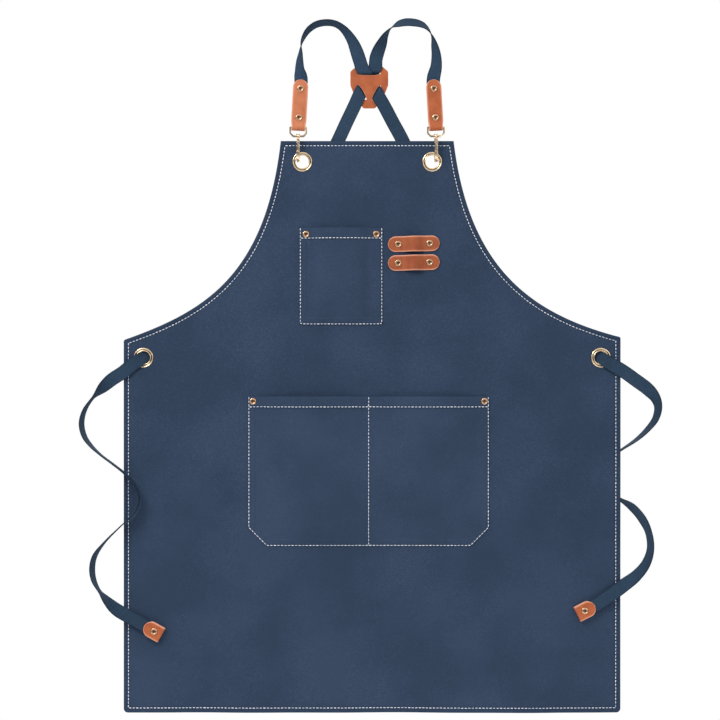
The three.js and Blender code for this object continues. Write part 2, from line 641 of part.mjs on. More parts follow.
function snapHook(name, side) {
  const x = hookX(side);
  const web = eye(name, x);
  const top = web.low - GAP;
  const bridge = top - HOOK_BRIDGE;
  const mid = (HOOK_BACK_Y + HOOK_FRONT_Y) / 2;
  const radius = (HOOK_BACK_Y - HOOK_FRONT_Y) / 2;
  const bowZ = BIB_GROMMET_Z + HOOK_BOW_RISE + radius;
  const outer = radius + HOOK_WIRE / 2;
  const inner = radius - HOOK_WIRE / 2;
  const pinY = HOOK_FRONT_Y + 0.8;
  const pinZ = top - GATE_DROP;
  const lug = GATE_HUB_R + 0.6;
  const noseTop = bowZ + 2.4;

  // The hook in side view: back spine, bow through the grommet, nose, and the bridge with the gate's lug.
  const body = new THREE.Shape();
  body.moveTo(mid + outer, top - 1.5);
  body.lineTo(mid + outer - 1.5, top);
  body.lineTo(pinY + 3, top);
  body.lineTo(pinY - lug, pinZ + 1.2);
  body.lineTo(pinY - lug, pinZ);
  body.absarc(pinY, pinZ, lug, Math.PI, 2 * Math.PI);
  body.lineTo(pinY + lug, bridge);
  body.lineTo(mid + inner, bridge);
  body.lineTo(mid + inner, bowZ);
  body.absarc(mid, bowZ, inner, 0, -Math.PI, true);
  body.lineTo(mid - inner, noseTop);
  body.lineTo(mid - outer + 0.8, noseTop + 1);
  body.lineTo(mid - outer, noseTop);
  body.lineTo(mid - outer, bowZ);
  body.absarc(mid, bowZ, outer, Math.PI, 2 * Math.PI);
  const neck = barZ(x, 0, top - 1, web.high + GAP + 0.5, SWIVEL_R);
  const head = barZ(x, 0, web.high + GAP, web.high + GAP + 2, SWIVEL_HEAD_R);
  const slotWidth = GATE_HUB_WIDTH + SPRING_WIDTH + 3 * GAP;
  const slot = new THREE.BoxGeometry(slotWidth, 2 * lug + 4, 2 * lug + 1).translate(x, pinY, pinZ - 0.2);
  const pinHole = barX(x, pinY, pinZ, GATE_PIN_R + GAP, HOOK_THICK + 2);
  add(name + "_hook_body", build([sidePlate(body, x, HOOK_THICK), neck, head], [slot, pinHole]), GOLD);
  add(name + "_gate_pin", barX(x, pinY, pinZ, GATE_PIN_R, HOOK_THICK), STEEL);

  // The gate's hub and the coil spring sit side by side on the pin between the lug's two cheeks.
  const hubX = x - slotWidth / 2 + GAP + GATE_HUB_WIDTH / 2;
  const springX = x + slotWidth / 2 - GAP - SPRING_WIDTH / 2;
  const restY = mid - inner + GAP;
  const bladeTop = pinZ - lug - 0.5;
  const bladeLow = noseTop - 3;
  const blade = polygon([
    [pinY - lug + 0.6, bladeTop], [mid - outer + 0.4, noseTop + 2], [restY, noseTop + 0.8],
    [restY, bladeLow], [restY + 1.6, bladeLow], [restY + 1.8, noseTop + 1], [pinY + lug - 0.4, bladeTop],
  ]);
  const stem = polygon([
    [pinY - 1.4, pinZ], [pinY - 1.4, bladeTop - 1], [pinY + 1.4, bladeTop - 1], [pinY + 1.4, pinZ],
  ]);
  const hub = barX(hubX, pinY, pinZ, GATE_HUB_R, GATE_HUB_WIDTH, 14);
  const bore = barX(hubX, pinY, pinZ, GATE_PIN_R + GAP, GATE_HUB_WIDTH + 2);
  add(
    name + "_gate",
    build([sidePlate(blade, x, HOOK_THICK - 0.6), sidePlate(stem, hubX, GATE_HUB_WIDTH), hub], [bore]),
    GOLD,
  );
  const coil = [];
  const turns = 2;
  for (let i = 0; i <= 2 * turns; i++) {
    const r = i % 2 ? GATE_HUB_R - 0.1 : GATE_HUB_R - 0.4;
    coil.push(new THREE.Vector2(r, ((i / (2 * turns)) * 2 - 1) * (SPRING_WIDTH / 2)));
  }
  const boreR = GATE_PIN_R + GAP;
  const wound = [new THREE.Vector2(boreR, -SPRING_WIDTH / 2), ...coil, new THREE.Vector2(boreR, SPRING_WIDTH / 2)];
  const spring = new THREE.LatheGeometry([...wound, wound[0]], 12);
  add(name + "_gate_spring", spring.rotateZ(Math.PI / 2).translate(springX, pinY, pinZ), STEEL);
}

// ---- where the rivets through the panel go ----
function pocketRivets(name, p) {
  const [inset, drop] = p.rivet;
  return Object.entries(SIDES).map(([end, side]) => ({
    name: name + "_rivet_" + end,
    on: name,
    x: p.x + side * (p.width / 2 - inset),
    z: BIB_TOP_Z - p.drop - drop,
    front: CLOTH_FRONT - GAP - 2 * CLOTH,
  }));
}

function loopRivets([level, drop]) {
  const half = LOOP_RIVET_SPACING / 2;
  const tilt = degrees(LOOP_TILT);
  return Object.entries(SIDES).map(([end, side]) => ({
    name: "loop_rivet_" + level + "_" + end,
    on: "leather_loop_" + level,
    x: LOOP_X + side * half * Math.cos(tilt),
    z: BIB_TOP_Z - drop + side * half * Math.sin(tilt),
    front: CLOTH_FRONT - GAP - LEATHER,
  }));
}

LOWER_POCKET.divided = true;
const rivetPlaces = [
  ...pocketRivets("chest_pocket", CHEST_POCKET),
  ...pocketRivets("lower_pocket", LOWER_POCKET),
  ...LOOPS.flatMap(loopRivets),
];

// ---- assembly ----
panel();
pocket("chest_pocket", CHEST_POCKET);
pocket("lower_pocket", LOWER_POCKET);
for (const [level, drop] of LOOPS) toolLoop(level, drop);
for (const { name, x, z, front } of rivetPlaces) rivet(name, x, z, front, CLOTH_BACK);
crossPatch();
for (const [name, side] of Object.entries(SIDES)) {
  grommet("bib_grommet_" + name, bibGrommetX(side), BIB_GROMMET_Z);
  grommet("waist_grommet_" + name, waistGrommetX(side), WAIST_GROMMET_Z);
  strapTab(name, side);
  snapHook(name, side);
  strap(name);
}

export default apron;
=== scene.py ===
import math
import bmesh
import bpy
import numpy as np
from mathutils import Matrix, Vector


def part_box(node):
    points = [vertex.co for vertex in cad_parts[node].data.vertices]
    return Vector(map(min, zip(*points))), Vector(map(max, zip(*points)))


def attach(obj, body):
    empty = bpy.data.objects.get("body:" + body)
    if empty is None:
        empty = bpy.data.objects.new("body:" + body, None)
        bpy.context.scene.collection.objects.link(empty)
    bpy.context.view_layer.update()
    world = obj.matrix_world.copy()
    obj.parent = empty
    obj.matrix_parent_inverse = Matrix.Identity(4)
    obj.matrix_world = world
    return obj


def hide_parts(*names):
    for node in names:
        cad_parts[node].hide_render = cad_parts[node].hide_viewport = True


# A bib apron of blue canvas with pockets, leather tool loops, crossed webbing straps and snap hooks.
# Shapes are worked out in millimetres and stored in metres; the front of the panel faces -Y.
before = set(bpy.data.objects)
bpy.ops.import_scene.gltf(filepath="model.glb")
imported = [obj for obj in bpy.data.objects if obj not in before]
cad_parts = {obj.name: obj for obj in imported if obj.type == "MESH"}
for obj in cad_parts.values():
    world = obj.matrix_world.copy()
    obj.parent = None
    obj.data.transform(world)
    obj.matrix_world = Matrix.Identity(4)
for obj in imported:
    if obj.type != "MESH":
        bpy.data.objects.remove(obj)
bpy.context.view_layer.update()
MM = 0.001
rng = np.random.default_rng(7)

# ---- sizes, repeated from the part ----
PANEL_WIDTH, PANEL_HEIGHT, BIB_WIDTH = 704, 810, 245
ARMHOLE_DROP, BIB_TOP_Z, BIB_X, SKIRT_X = 283, -171.5, -4, 3
ARMHOLE_HANDLES = {-1: [(0.1, 0.69), (0.5, 0.86)], 1: [(0.09, 0.64), (0.45, 0.88)]}
WAIST_RISE = {-1: 1, 1: 5}
HEM_Z, WAIST_Z = BIB_TOP_Z - PANEL_HEIGHT, BIB_TOP_Z - ARMHOLE_DROP
CORNER_R = 6
HEM_WIDTH, HEM_STITCH = 10, 6.7
CHEST_POCKET = dict(x=-41, width=117.3, height=137.2, top=-294.5, chamfer=0, divided=False)
LOWER_POCKET = dict(x=-2, width=341, height=211.8, top=-533.5, chamfer=26, divided=True)
POCKET_DEPTH, POCKET_RISE, POCKET_SEAM, DIVIDER_SEAM = 7, 60, 17, 5
MOUTH_STITCH, MOUTH_HEM, EDGE_STITCH = 14.6, 15.9, 1.0
LEATHER = 2
LOOP_X, LOOP_LENGTH, LOOP_WIDTH, LOOP_REACH, LOOP_RISE, LOOP_TILT = 62, 73, 22, 17.45, 7, 1.5
LOOP_Z = {"upper": -317.2, "lower": -343.9}
BAR_Z, HOOK_X, TAB_LENGTH, TAB_WIDTH, TAB_FOLD_WIDTH = -152.5, (-101.5, 93.5), 68, 21.5, 19.4
TAB_LEAN = 3.2
TIP_LENGTH, TIP_WIDTH = 27, 22.5
WAIST_GROMMET_X, WAIST_GROMMET_Z, BORE_R = (-321, 327), -478.5, 9.2
PATCH = (-1, 7.2, -95)
PATCH_THICK = 2.2
PATCH_HALF_OUTLINE = [(18, 30.5), (27, 23), (27, 3.3), (22.8, -7.2), (8.5, -29.6)]
WEBBING, WEBBING_THICK, BEHIND = 19, 1.4, 3.8
SKEW = 30
PITCH, STITCH_LENGTH, STITCH_THICK = 5.0, 3.5, 1.15

# Route points of each strap from an anchor, as in the part or within 2 mm of it: x, y, z, roll and, where the cross
# lines slant, skew.
ROUTES = {
    "left": {
        "rise": [(-2, 0, 14, 45), (-2, 0.5, 28, 60), (-1, 1, 39, 74), (0, 1, 50, 90),
                 (3, 1, 59, 99), (10, 1, 70, 106), (21, 1, 78, 108), (35, 1, 81, 108)],
        "fall": [(-49, -6, 90, 108), (-40, -6, 85, 112), (-32, -6, 77, 122), (-24, -5, 65, 137),
                 (-18, -4.8, 51, 162), (-14, -4.2, 39, 180), (-10, -3.9, 27.5, 180, -SKEW),
                 (-6.3, -3.4, 20.7, 180, -SKEW), (-5.6, -0.85, 19.5, 180, -SKEW),
                 (-4.8, 1.7, 18.2, 180, -SKEW), (-1.7, 2.2, 13, 180, -SKEW), (2.5, 2.2, 5.8, 180),
                 (6.5, 2.2, -1.1, 180, SKEW), (9.4, 1.7, -6.2, 180, SKEW),
                 (10.2, -0.85, -7.6, 180, SKEW), (11.1, -3.4, -9, 180, SKEW),
                 (14, -3.9, -14.1, 180, SKEW), (22, -3.9, -28, 180), (33, -3.9, -49, 180),
                 (47, -3.9, -75, 180)],
        "tie": [(7, -3, -4.6, 180), (15, -3.3, -9.5, 180), (31, -4, -19, 180), (49, -6, -32, 176),
                (66, -8, -45, 160), (76, -9, -57, 132), (80, -8, -70, 116), (77, -4, -86, 110),
                (67, 2, -101, 104), (52, 8, -116, 97), (31, 13, -131, 90), (13, 13.5, -144, 90),
                (2, 13.5, -160, 90), (5, 13.5, -178, 90), (15, 13.5, -191, 92), (28, 13.2, -201, 100),
                (46, 9, -213, 122), (60, 5, -230, 122), (68, 1, -248, 112), (70, -3, -270, 112),
                (63, -7, -291, 122), (49, -9, -308, 137), (31, -8.5, -322, 162), (14, -7, -335, 178),
                (-2, -6.2, -346, 180), (-16, -5.9, -354, 180), (-32, -5.8, -362, 180)],
    },
    "right": {
        "rise": [(4, 0, 19, 34), (4, 0.5, 35, 50), (1.5, 1, 49, 66), (-2, 1, 62, 90),
                 (-8, 1, 72, 108), (-16, 1, 78, 124), (-27, 1, 81, 132), (-39, 1, 81.5, 132)],
        "fall": [(42, -5, 90, 124), (34, -4, 86, 102), (28, -4, 81, 88), (23, -3, 74, 70),
                 (18.5, -2, 64, 46), (13.5, -0.9, 53, 24), (9.8, -1.5, 42, 6), (8, -2.2, 28.5, 0, -SKEW),
                 (4.9, -1.7, 22.5, 0, -SKEW), (4.2, 0.85, 21.3, 0, -SKEW), (3.5, 3.4, 20, 0, -SKEW),
                 (1, 3.9, 15.3, 0, -SKEW), (-3, 3.9, 8.4, 0), (-7, 3.9, 1.5, 0, SKEW),
                 (-9.9, 3.4, -3.5, 0, SKEW), (-10.7, 0.85, -4.9, 0, SKEW), (-11.6, -1.7, -6.4, 0, SKEW),
                 (-14.5, -2.2, -11.5, 0, SKEW), (-21.5, -2.2, -27, 0), (-32, -2.6, -49, 0),
                 (-44, -3.2, -75, 0)],
        "tie": [(-7, -3, -4.6, 0), (-15, -3.3, -9.5, 0), (-29, -4, -21, 0), (-44, -6.5, -31, 14),
                (-56, -9.5, -42, 42), (-71, -12, -58, 86), (-82, -12.5, -75, 80), (-86, -12.5, -93, 76),
                (-82, -12.5, -111, 78), (-72, -12.5, -125, 84), (-58, -12.5, -138, 90),
                (-42, -12.5, -150, 90), (-28, -12.5, -161, 90), (-14, -12.5, -175, 90),
                (-5, -12.5, -197, 90), (-11, -12.5, -219, 90), (-30, -12.5, -237, 90),
                (-53, -12.5, -260, 86), (-67, -12.5, -279, 76), (-71, -12.5, -296, 74),
                (-69, -12.5, -313, 78), (-61, -12.5, -329, 88), (-52, -11.5, -341, 66),
                (-38, -9, -355, 32), (-22, -7, -365, 10), (-6, -6, -374, 0), (9, -5.8, -383, 0),
                (24, -5.8, -391.5, 0)],
    },
}
HIDDEN_FROM_PATCH = [(-76, -140), (-109, -210), (-150, -272)]
HIDDEN_FROM_GROMMET = [(118, 55), (62, 24), (18, 8)]


# ---- camera ----
def add_object(name, data):
    made = bpy.data.objects.new(name, data)
    bpy.context.scene.collection.objects.link(made)
    return made


def add_camera():
    data = bpy.data.cameras.new("camera")
    data.lens, data.sensor_width = 100, 36
    camera = add_object("camera", data)
    camera.location = (-0.0142, -2.834, -0.4818)
    camera.rotation_euler = (math.pi / 2, 0, 0)
    bpy.context.scene.camera = camera


add_camera()


# ---- mesh tools ----
def smooth(t):
    """The smooth step 3t^2 - 2t^3 of t held between 0 and 1."""
    t = np.clip(t, 0, 1)
    return t * t * (3 - 2 * t)


def rounded(distance, radius, least=0.0):
    """The height of a quarter circle at a distance from its foot, as a share of its radius: 1 past the radius."""
    return np.sqrt(np.clip(1 - (1 - np.clip(distance / radius, 0, 1)) ** 2, least, 1))


def bell(distance, width):
    """exp(-(d/w)^2), which is 1 at no distance."""
    return np.exp(-((distance / width) ** 2))


def grid_faces(rows, columns, closed=False):
    """Four-cornered faces of a grid of points stored row by row; closed joins the last column to the first."""
    index = np.arange(rows * columns).reshape(rows, columns)
    if closed:
        index = np.concatenate([index, index[:, :1]], axis=1)
    corners = [index[:-1, :-1], index[:-1, 1:], index[1:, 1:], index[1:, :-1]]
    return np.stack(corners, axis=-1).reshape(-1, 4)


def tube_faces(rows, columns):
    """The faces of a closed tube of points stored ring by ring, with a cap on each end."""
    caps = [list(range(columns)), list(range((rows - 1) * columns, rows * columns))]
    return grid_faces(rows, columns, closed=True).tolist() + caps


def make_piece(name, points, faces, material, body, uv=None, values=None, sharp=40, replaced=()):
    """A mesh object from points in millimetres and a list of faces, with point values and a UV map kept on it."""
    mesh = bpy.data.meshes.new(name)
    mesh.from_pydata((np.asarray(points, float).reshape(-1, 3) * MM).tolist(), [], [list(f) for f in faces])
    for key, value in (values or {}).items():
        layer = mesh.attributes.new(key, "FLOAT", "POINT")
        layer.data.foreach_set("value", np.asarray(value, np.float32).ravel())
    if uv is not None:
        corner = np.zeros(len(mesh.loops), np.int32)
        mesh.loops.foreach_get("vertex_index", corner)
        layer = mesh.uv_layers.new(name="weave")
        layer.data.foreach_set("uv", np.asarray(uv, np.float32).reshape(-1, 2)[corner].ravel())
    shell = bmesh.new()
    shell.from_mesh(mesh)
    bmesh.ops.remove_doubles(shell, verts=shell.verts, dist=1e-6)
    bmesh.ops.recalc_face_normals(shell, faces=shell.faces)
    shell.to_mesh(mesh)
    shell.free()
    mesh.shade_smooth()
    mesh.set_sharp_from_angle(angle=math.radians(sharp))
    piece = add_object(name, mesh)
    mesh.materials.append(material)
    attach(piece, body)
    if replaced:
        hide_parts(*replaced)
    return piece


def curve_through(points, u):
    """Centripetal Catmull-Rom curve: Hermite spans between the points, with u from 0 to 1 even over the points."""
    p = np.asarray(points, float)
    last = len(p) - 1
    padded = np.concatenate([[2 * p[0] - p[1]], p, [2 * p[-1] - p[-2]]])
    at = np.clip(u, 0, 1) * last
    span = np.minimum(at.astype(int), last - 1)
    w = (at - span)[:, None]
    q = [padded[span + k] for k in range(4)]
    gaps = [np.sum((q[k + 1] - q[k]) ** 2, axis=1, keepdims=True) ** 0.25 for k in range(3)]
    middle = np.where(gaps[1] < 1e-4, 1, gaps[1])
    before = np.where(gaps[0] < 1e-4, middle, gaps[0])
    after = np.where(gaps[2] < 1e-4, middle, gaps[2])
    out = ((q[1] - q[0]) / before - (q[2] - q[0]) / (before + middle) + (q[2] - q[1]) / middle) * middle
    into = ((q[2] - q[1]) / middle - (q[3] - q[1]) / (middle + after) + (q[3] - q[2]) / after) * middle
    square, cube = 3 * (q[2] - q[1]) - 2 * out - into, 2 * (q[1] - q[2]) + out + into
    return q[1] + out * w + square * w**2 + cube * w**3


def unit(v):
    return v / np.maximum(np.linalg.norm(v, axis=-1, keepdims=True), 1e-12)


def travelled(line):
    """Distance along a line of points, from 0 at its start."""
    steps = np.linalg.norm(np.diff(line, axis=0), axis=1)
    return np.concatenate([[0], np.cumsum(steps)])


def closed_sheet(front, back, faces):
    """A cloth's front and back layers, which have the same faces, and a wall along every free edge."""
    n = len(front)
    edges = np.concatenate([faces[:, [k, (k + 1) % 4]] for k in range(4)])
    free = edges[~np.isin(edges[:, 0] * n + edges[:, 1], edges[:, 1] * n + edges[:, 0])]
    wall = np.stack([free[:, 1], free[:, 0], free[:, 0] + n, free[:, 1] + n], axis=1)
    return np.concatenate([front, back]), np.concatenate([faces, faces[:, ::-1] + n, wall])


def lathe(profile, x, z, turns):
    """A profile of (radius, y) pairs carried round an axis along Y through (x, z)."""
    r, y = np.array(profile, float).T
    a = np.linspace(0, 2 * math.pi, turns, endpoint=False)[:, None]
    points = np.stack([x + r * np.cos(a), y + 0 * a, z + r * np.sin(a)], axis=-1)
    rows = np.concatenate([points, points[:1]])
    return rows.reshape(-1, 3), grid_faces(turns + 1, len(r), closed=True)


def lathed_piece(name, profile, recess_shade, place, turns, sharp, material, node):
    """A lathed piece in place of a part's node, with one painted-shade value for each point of its profile."""
    points, faces = lathe(profile, *place, turns)
    return make_piece(name, points, faces, material, "apron", sharp=sharp, replaced=[node],
                      values={"recess_shade": np.tile(np.asarray(recess_shade, float), turns + 1)})


# ---- shader tools ----
class Tree:
    """Short calls for placing and joining nodes in one node tree."""

    def __init__(self, tree):
        self.tree = tree

    def feed(self, node, inputs):
        """A node's inputs given as sockets, which are linked, or as plain values."""
        for key, value in dict(inputs).items():
            if isinstance(value, bpy.types.NodeSocket):
                self.tree.links.new(value, node.inputs[key])
            else:
                node.inputs[key].default_value = value
        return node

    def put(self, kind, inputs=(), **settings):
        node = self.tree.nodes.new(kind)
        for key, value in settings.items():
            setattr(node, key, value)
        return self.feed(node, inputs)

    def math(self, operation, *values):
        return self.put("ShaderNodeMath", dict(enumerate(values)), operation=operation).outputs[0]

    def mix(self, factor, a, b):
        return self.put("ShaderNodeMix", {0: factor, 6: a, 7: b}, data_type="RGBA").outputs[2]

    def noise(self, place, scale, detail=2.0):
        return self.put("ShaderNodeTexNoise", {"Vector": place, "Scale": scale, "Detail": detail}).outputs[0]

    def attribute(self, name):
        return self.put("ShaderNodeAttribute", attribute_name=name).outputs["Fac"]

    def bump(self, height, distance):
        return self.put("ShaderNodeBump", {"Height": height, "Distance": distance}).outputs[0]

    def spread(self, value, low, high, to_low=0.0, to_high=1.0):
        """A value carried from one range to another and held inside it."""
        inputs = {0: value, 1: low, 2: high, 3: to_low, 4: to_high}
        return self.put("ShaderNodeMapRange", inputs).outputs[0]


def rgb(red, green, blue):
    """A screen colour of 0 to 255 made linear."""
    return tuple(((c / 255 + 0.055) / 1.055) ** 2.4 if c > 10 else c / 3294.6 for c in (red, green, blue)) + (1,)


def group(name, inputs, outputs):
    """An empty shader group with its named sockets, and its input and output nodes."""
    made = bpy.data.node_groups.new(name, "ShaderNodeTree")
    kinds = {"color": "NodeSocketColor", "float": "NodeSocketFloat", "vector": "NodeSocketVector"}
    for key, kind in inputs.items():
        made.interface.new_socket(key, in_out="INPUT", socket_type=kinds[kind])
    for key, kind in outputs.items():
        made.interface.new_socket(key, in_out="OUTPUT", socket_type=kinds[kind])
    tree = Tree(made)
    return made, tree, tree.put("NodeGroupInput").outputs, tree.put("NodeGroupOutput")


def weave_group():
    """Crossed yarns: the height is sin(kx) sin(kz), broken up by slubs, with paler flecks, soft clouds of tone and
    painted shade, the deep colour mixed into the low points between the yarns.
    """
    made, t, given, out = group(
        "Woven cloth",
        {"Place": "vector", "Across": "float", "Along": "float", "Yarn": "color", "Pale": "color", "Deep": "color",
         "Size": "float"},
        {"Color": "color", "Height": "float"},
    )
    across = t.math("SINE", t.math("MULTIPLY", given["Across"], given["Size"]))
    along = t.math("SINE", t.math("MULTIPLY", given["Along"], given["Size"]))
    yarn = t.math("MULTIPLY", across, along)
    slub = t.noise(given["Place"], 420.0, 3.0)
    fleck = t.noise(given["Place"], 900.0, 2.0)
    cloud = t.noise(given["Place"], 9.0, 4.0)
    pale = t.math("MULTIPLY", t.spread(fleck, 0.5, 0.72), 0.42)
    deep = t.math("MULTIPLY", t.spread(cloud, 0.62, 0.38), 0.4)
    color = t.mix(pale, given["Yarn"], given["Pale"])
    color = t.mix(deep, color, given["Deep"])
    # Painted shade: where the yarns lie low, up to 0.3 of the deep colour is mixed in.
    color = t.mix(t.spread(yarn, 1.0, -1.0, 0.0, 0.3), color, given["Deep"])
    t.feed(out, {"Color": color, "Height": t.math("ADD", t.math("MULTIPLY", yarn, 0.5), slub)})
    return made


def grain_group():
    """Leather grain: cells with soft creases between them, fine pores and slow blotches of tone."""
    made, t, given, out = group(
        "Leather grain",
        {"Place": "vector", "Hide": "color", "Dark": "color", "Edge": "color", "Rim": "float"},
        {"Color": "color", "Height": "float"},
    )
    cells = t.put("ShaderNodeTexVoronoi", {"Vector": given["Place"], "Scale": 900.0}).outputs[0]
    pores = t.noise(given["Place"], 1500.0, 2.0)
    blotch = t.noise(given["Place"], 70.0, 5.0)
    color = t.mix(t.spread(blotch, 0.35, 0.7, 0.0, 0.55), given["Hide"], given["Dark"])
    color = t.mix(t.spread(pores, 0.62, 0.8, 0.0, 0.25), color, given["Dark"])
    color = t.mix(t.spread(given["Rim"], 0.15, 0.75), color, given["Edge"])
    t.feed(out, {"Color": color, "Height": t.math("ADD", t.math("MULTIPLY", cells, 0.7), pores)})
    return made


def wear_group():
    """Handled metal: fine scratches and dull patches that change the tone and the polish."""
    made, t, given, out = group(
        "Metal wear",
        {"Place": "vector", "Bright": "color", "Dull": "color", "Polish": "float"},
        {"Color": "color", "Roughness": "float", "Height": "float"},
    )
    patch = t.noise(given["Place"], 260.0, 5.0)
    scratch = t.noise(given["Place"], 1900.0, 4.0)
    color = t.mix(t.spread(patch, 0.45, 0.75, 0.0, 0.6), given["Bright"], given["Dull"])
    rough = t.math("ADD", given["Polish"], t.spread(scratch, 0.4, 0.8, 0.0, 0.16))
    t.feed(out, {"Color": color, "Roughness": rough, "Height": scratch})
    return made


WEAVE, GRAIN, WEAR = weave_group(), grain_group(), wear_group()


def new_material(name):
    """A material, its tree, its shader and the object coordinates that its patterns read."""
    material = bpy.data.materials.new(name)
    material.use_nodes = True
    t = Tree(material.node_tree)
    return material, t, material.node_tree.nodes["Principled BSDF"], t.put("ShaderNodeTexCoord").outputs["Object"]


def canvas_material(name, yarn, pale, deep):
    """Plain-woven cotton canvas that puckers a little along its stitched edges, where painted shade darkens it."""
    material, t, shader, place = new_material(name)
    xyz = t.put("ShaderNodeSeparateXYZ", {0: place}).outputs
    woven = t.put("ShaderNodeGroup", {
        "Place": place, "Across": xyz[0], "Along": xyz[2], "Size": 7400.0,
        "Yarn": rgb(*yarn), "Pale": rgb(*pale), "Deep": rgb(*deep)}, node_tree=WEAVE).outputs
    seam_and_shade, pucker = t.attribute("seam_and_shade"), t.noise(place, 170.0)
    fold = t.math("MULTIPLY", t.math("MULTIPLY", pucker, seam_and_shade), 1.2)
    coarse = t.bump(t.math("SUBTRACT", fold, t.math("MULTIPLY", seam_and_shade, 0.8)), 0.0014)
    fine = t.put("ShaderNodeBump", {"Height": woven["Height"], "Distance": 0.00022, "Normal": coarse}).outputs[0]
    # Painted shade along the stitched edges and the folded hem: the seam mask mixes in the deep colour.
    color = t.mix(t.math("MULTIPLY", seam_and_shade, 0.55), woven["Color"], rgb(*deep))
    t.feed(shader, {"Base Color": color, "Roughness": 0.9, "Specular IOR Level": 0.12, "Normal": fine})
    return material


def webbing_material():
    """Cotton webbing in a herringbone: rows of slanting yarns that turn at each rib, darker along the edges."""
    material, t, shader, place = new_material("blue_webbing")
    uv = t.put("ShaderNodeSeparateXYZ", {0: t.put("ShaderNodeUVMap", uv_map="weave").outputs[0]}).outputs
    slant = t.math("ADD", uv[1], t.math("PINGPONG", uv[0], 0.0024))
    woven = t.put("ShaderNodeGroup", {
        "Place": place, "Across": slant, "Along": uv[0], "Size": 4800.0,
        "Yarn": rgb(45, 65, 86), "Pale": rgb(78, 102, 124), "Deep": rgb(26, 40, 54)}, node_tree=WEAVE).outputs
    edge = t.spread(t.attribute("selvedge"), 0.8, 0.97, 0.0, 0.55)
    t.feed(shader, {"Base Color": t.mix(edge, woven["Color"], rgb(20, 31, 43)), "Roughness": 0.82,
                    "Specular IOR Level": 0.12, "Normal": t.bump(woven["Height"], 0.00014)})
    return material


def leather_material(name, hide, dark):
    """Oiled leather whose cut edges, where the rim value is high, are paler."""
    material, t, shader, place = new_material(name)
    grain = t.put("ShaderNodeGroup", {
        "Place": place, "Rim": t.attribute("rim"), "Hide": rgb(*hide), "Dark": rgb(*dark),
        "Edge": rgb(226, 160, 132)}, node_tree=GRAIN).outputs
    t.feed(shader, {"Base Color": grain["Color"], "Roughness": t.spread(grain["Height"], 0.4, 1.4, 0.42, 0.6),
                    "Specular IOR Level": 0.22, "Normal": t.bump(grain["Height"], 0.00012)})
    return material


def metal_material(name, bright, dull, polish):
    """Plated metal with handled tone and polish, and painted shade, a dark brown, in the grooves and hollows that the
    profile marks.
    """
    material, t, shader, place = new_material(name)
    wear = t.put("ShaderNodeGroup", {
        "Place": place, "Bright": rgb(*bright), "Dull": rgb(*dull), "Polish": polish}, node_tree=WEAR).outputs
    # Painted shade: the marked grooves and hollows take up to 0.75 of a dark brown.
    color = t.mix(t.math("MULTIPLY", t.attribute("recess_shade"), 0.75), wear["Color"], rgb(86, 60, 38))
    t.feed(shader, {"Base Color": color, "Metallic": 1.0, "Roughness": wear["Roughness"],
                    "Normal": t.bump(wear["Height"], 0.00003)})
    return material


def thread_material():
    """Pale blue-white sewing thread whose tone differs from stitch to stitch, with a fine twist."""
    material, t, shader, place = new_material("pale_thread")
    twist = t.put("ShaderNodeTexWave", {"Vector": place, "Scale": 900.0, "Distortion": 1.0},
                  bands_direction="DIAGONAL").outputs["Fac"]
    color = t.mix(t.attribute("tone"), rgb(178, 194, 216), rgb(248, 250, 255))
    t.feed(shader, {"Base Color": color, "Roughness": 0.7, "Normal": t.bump(twist, 0.00008)})
    return material


CANVAS = canvas_material("blue_canvas", (53, 69, 92), (86, 105, 131), (37, 50, 70))
POCKET_CANVAS = canvas_material("pocket_canvas", (55, 71, 94), (88, 107, 133), (38, 51, 71))
WEBBING_CLOTH = webbing_material()
HIDE = leather_material("tan_leather", (178, 96, 58), (142, 68, 38))
LOOP_HIDE = leather_material("loop_leather", (160, 86, 52), (128, 60, 34))
# Painted light: the left tab's leather is a paler copy of the tab leather, standing for the stronger light on that
# side.
LEFT_TAB_LIT_HIDE = leather_material("lit_left_tab_leather", (196, 120, 83), (162, 87, 53))
GOLD = metal_material("light_gold", (250, 226, 190), (196, 160, 112), 0.12)
COPPER = metal_material("copper_gold", (226, 184, 148), (150, 108, 74), 0.18)
STEEL = metal_material("spring_steel", (196, 200, 204), (140, 144, 150), 0.25)
THREAD = thread_material()


# ---- webbing straps ----
def strap_route(name):
    """All of one strap's route points: tab, arch, patch, hidden stretch behind the panel, waist grommet and tie."""
    side = -1 if name == "left" else 1
    slope = math.tan(math.radians(TAB_LEAN))

    def in_tab(height):
        return (HOOK_X[side > 0] - side * height * slope, 0, BAR_Z + height)

    def beside(anchor, point):
        x, y, z, roll, skew = (*point, 0)[:5]
        return (anchor[0] + x, anchor[1] + y, anchor[2] + z, roll, skew)

    route = [(*in_tab(height), 0, 0) for height in (8, 22, 38, 54, TAB_LENGTH)]
    route += [beside(in_tab(TAB_LENGTH), p) for p in ROUTES[name]["rise"]]
    route += [beside(PATCH, p) for p in ROUTES[name]["fall"]]
    flat = route[-1][3]
    grommet = (WAIST_GROMMET_X[side < 0], 0, WAIST_GROMMET_Z)
    behind_patch = (PATCH[0], 0, PATCH[2])
    route += [beside(behind_patch, (side * x, BEHIND, z, flat)) for x, z in HIDDEN_FROM_PATCH]
    route += [beside(grommet, (side * x, BEHIND, z, flat)) for x, z in HIDDEN_FROM_GROMMET]
    route += [beside(grommet, (side * 7.6, BEHIND - 0.1, 3.9, flat)), beside(grommet, (0, 0.3, 0, flat))]
    through = len(route) - 1
    return np.array(route + [beside(grommet, p) for p in ROUTES[name]["tie"]], float), through


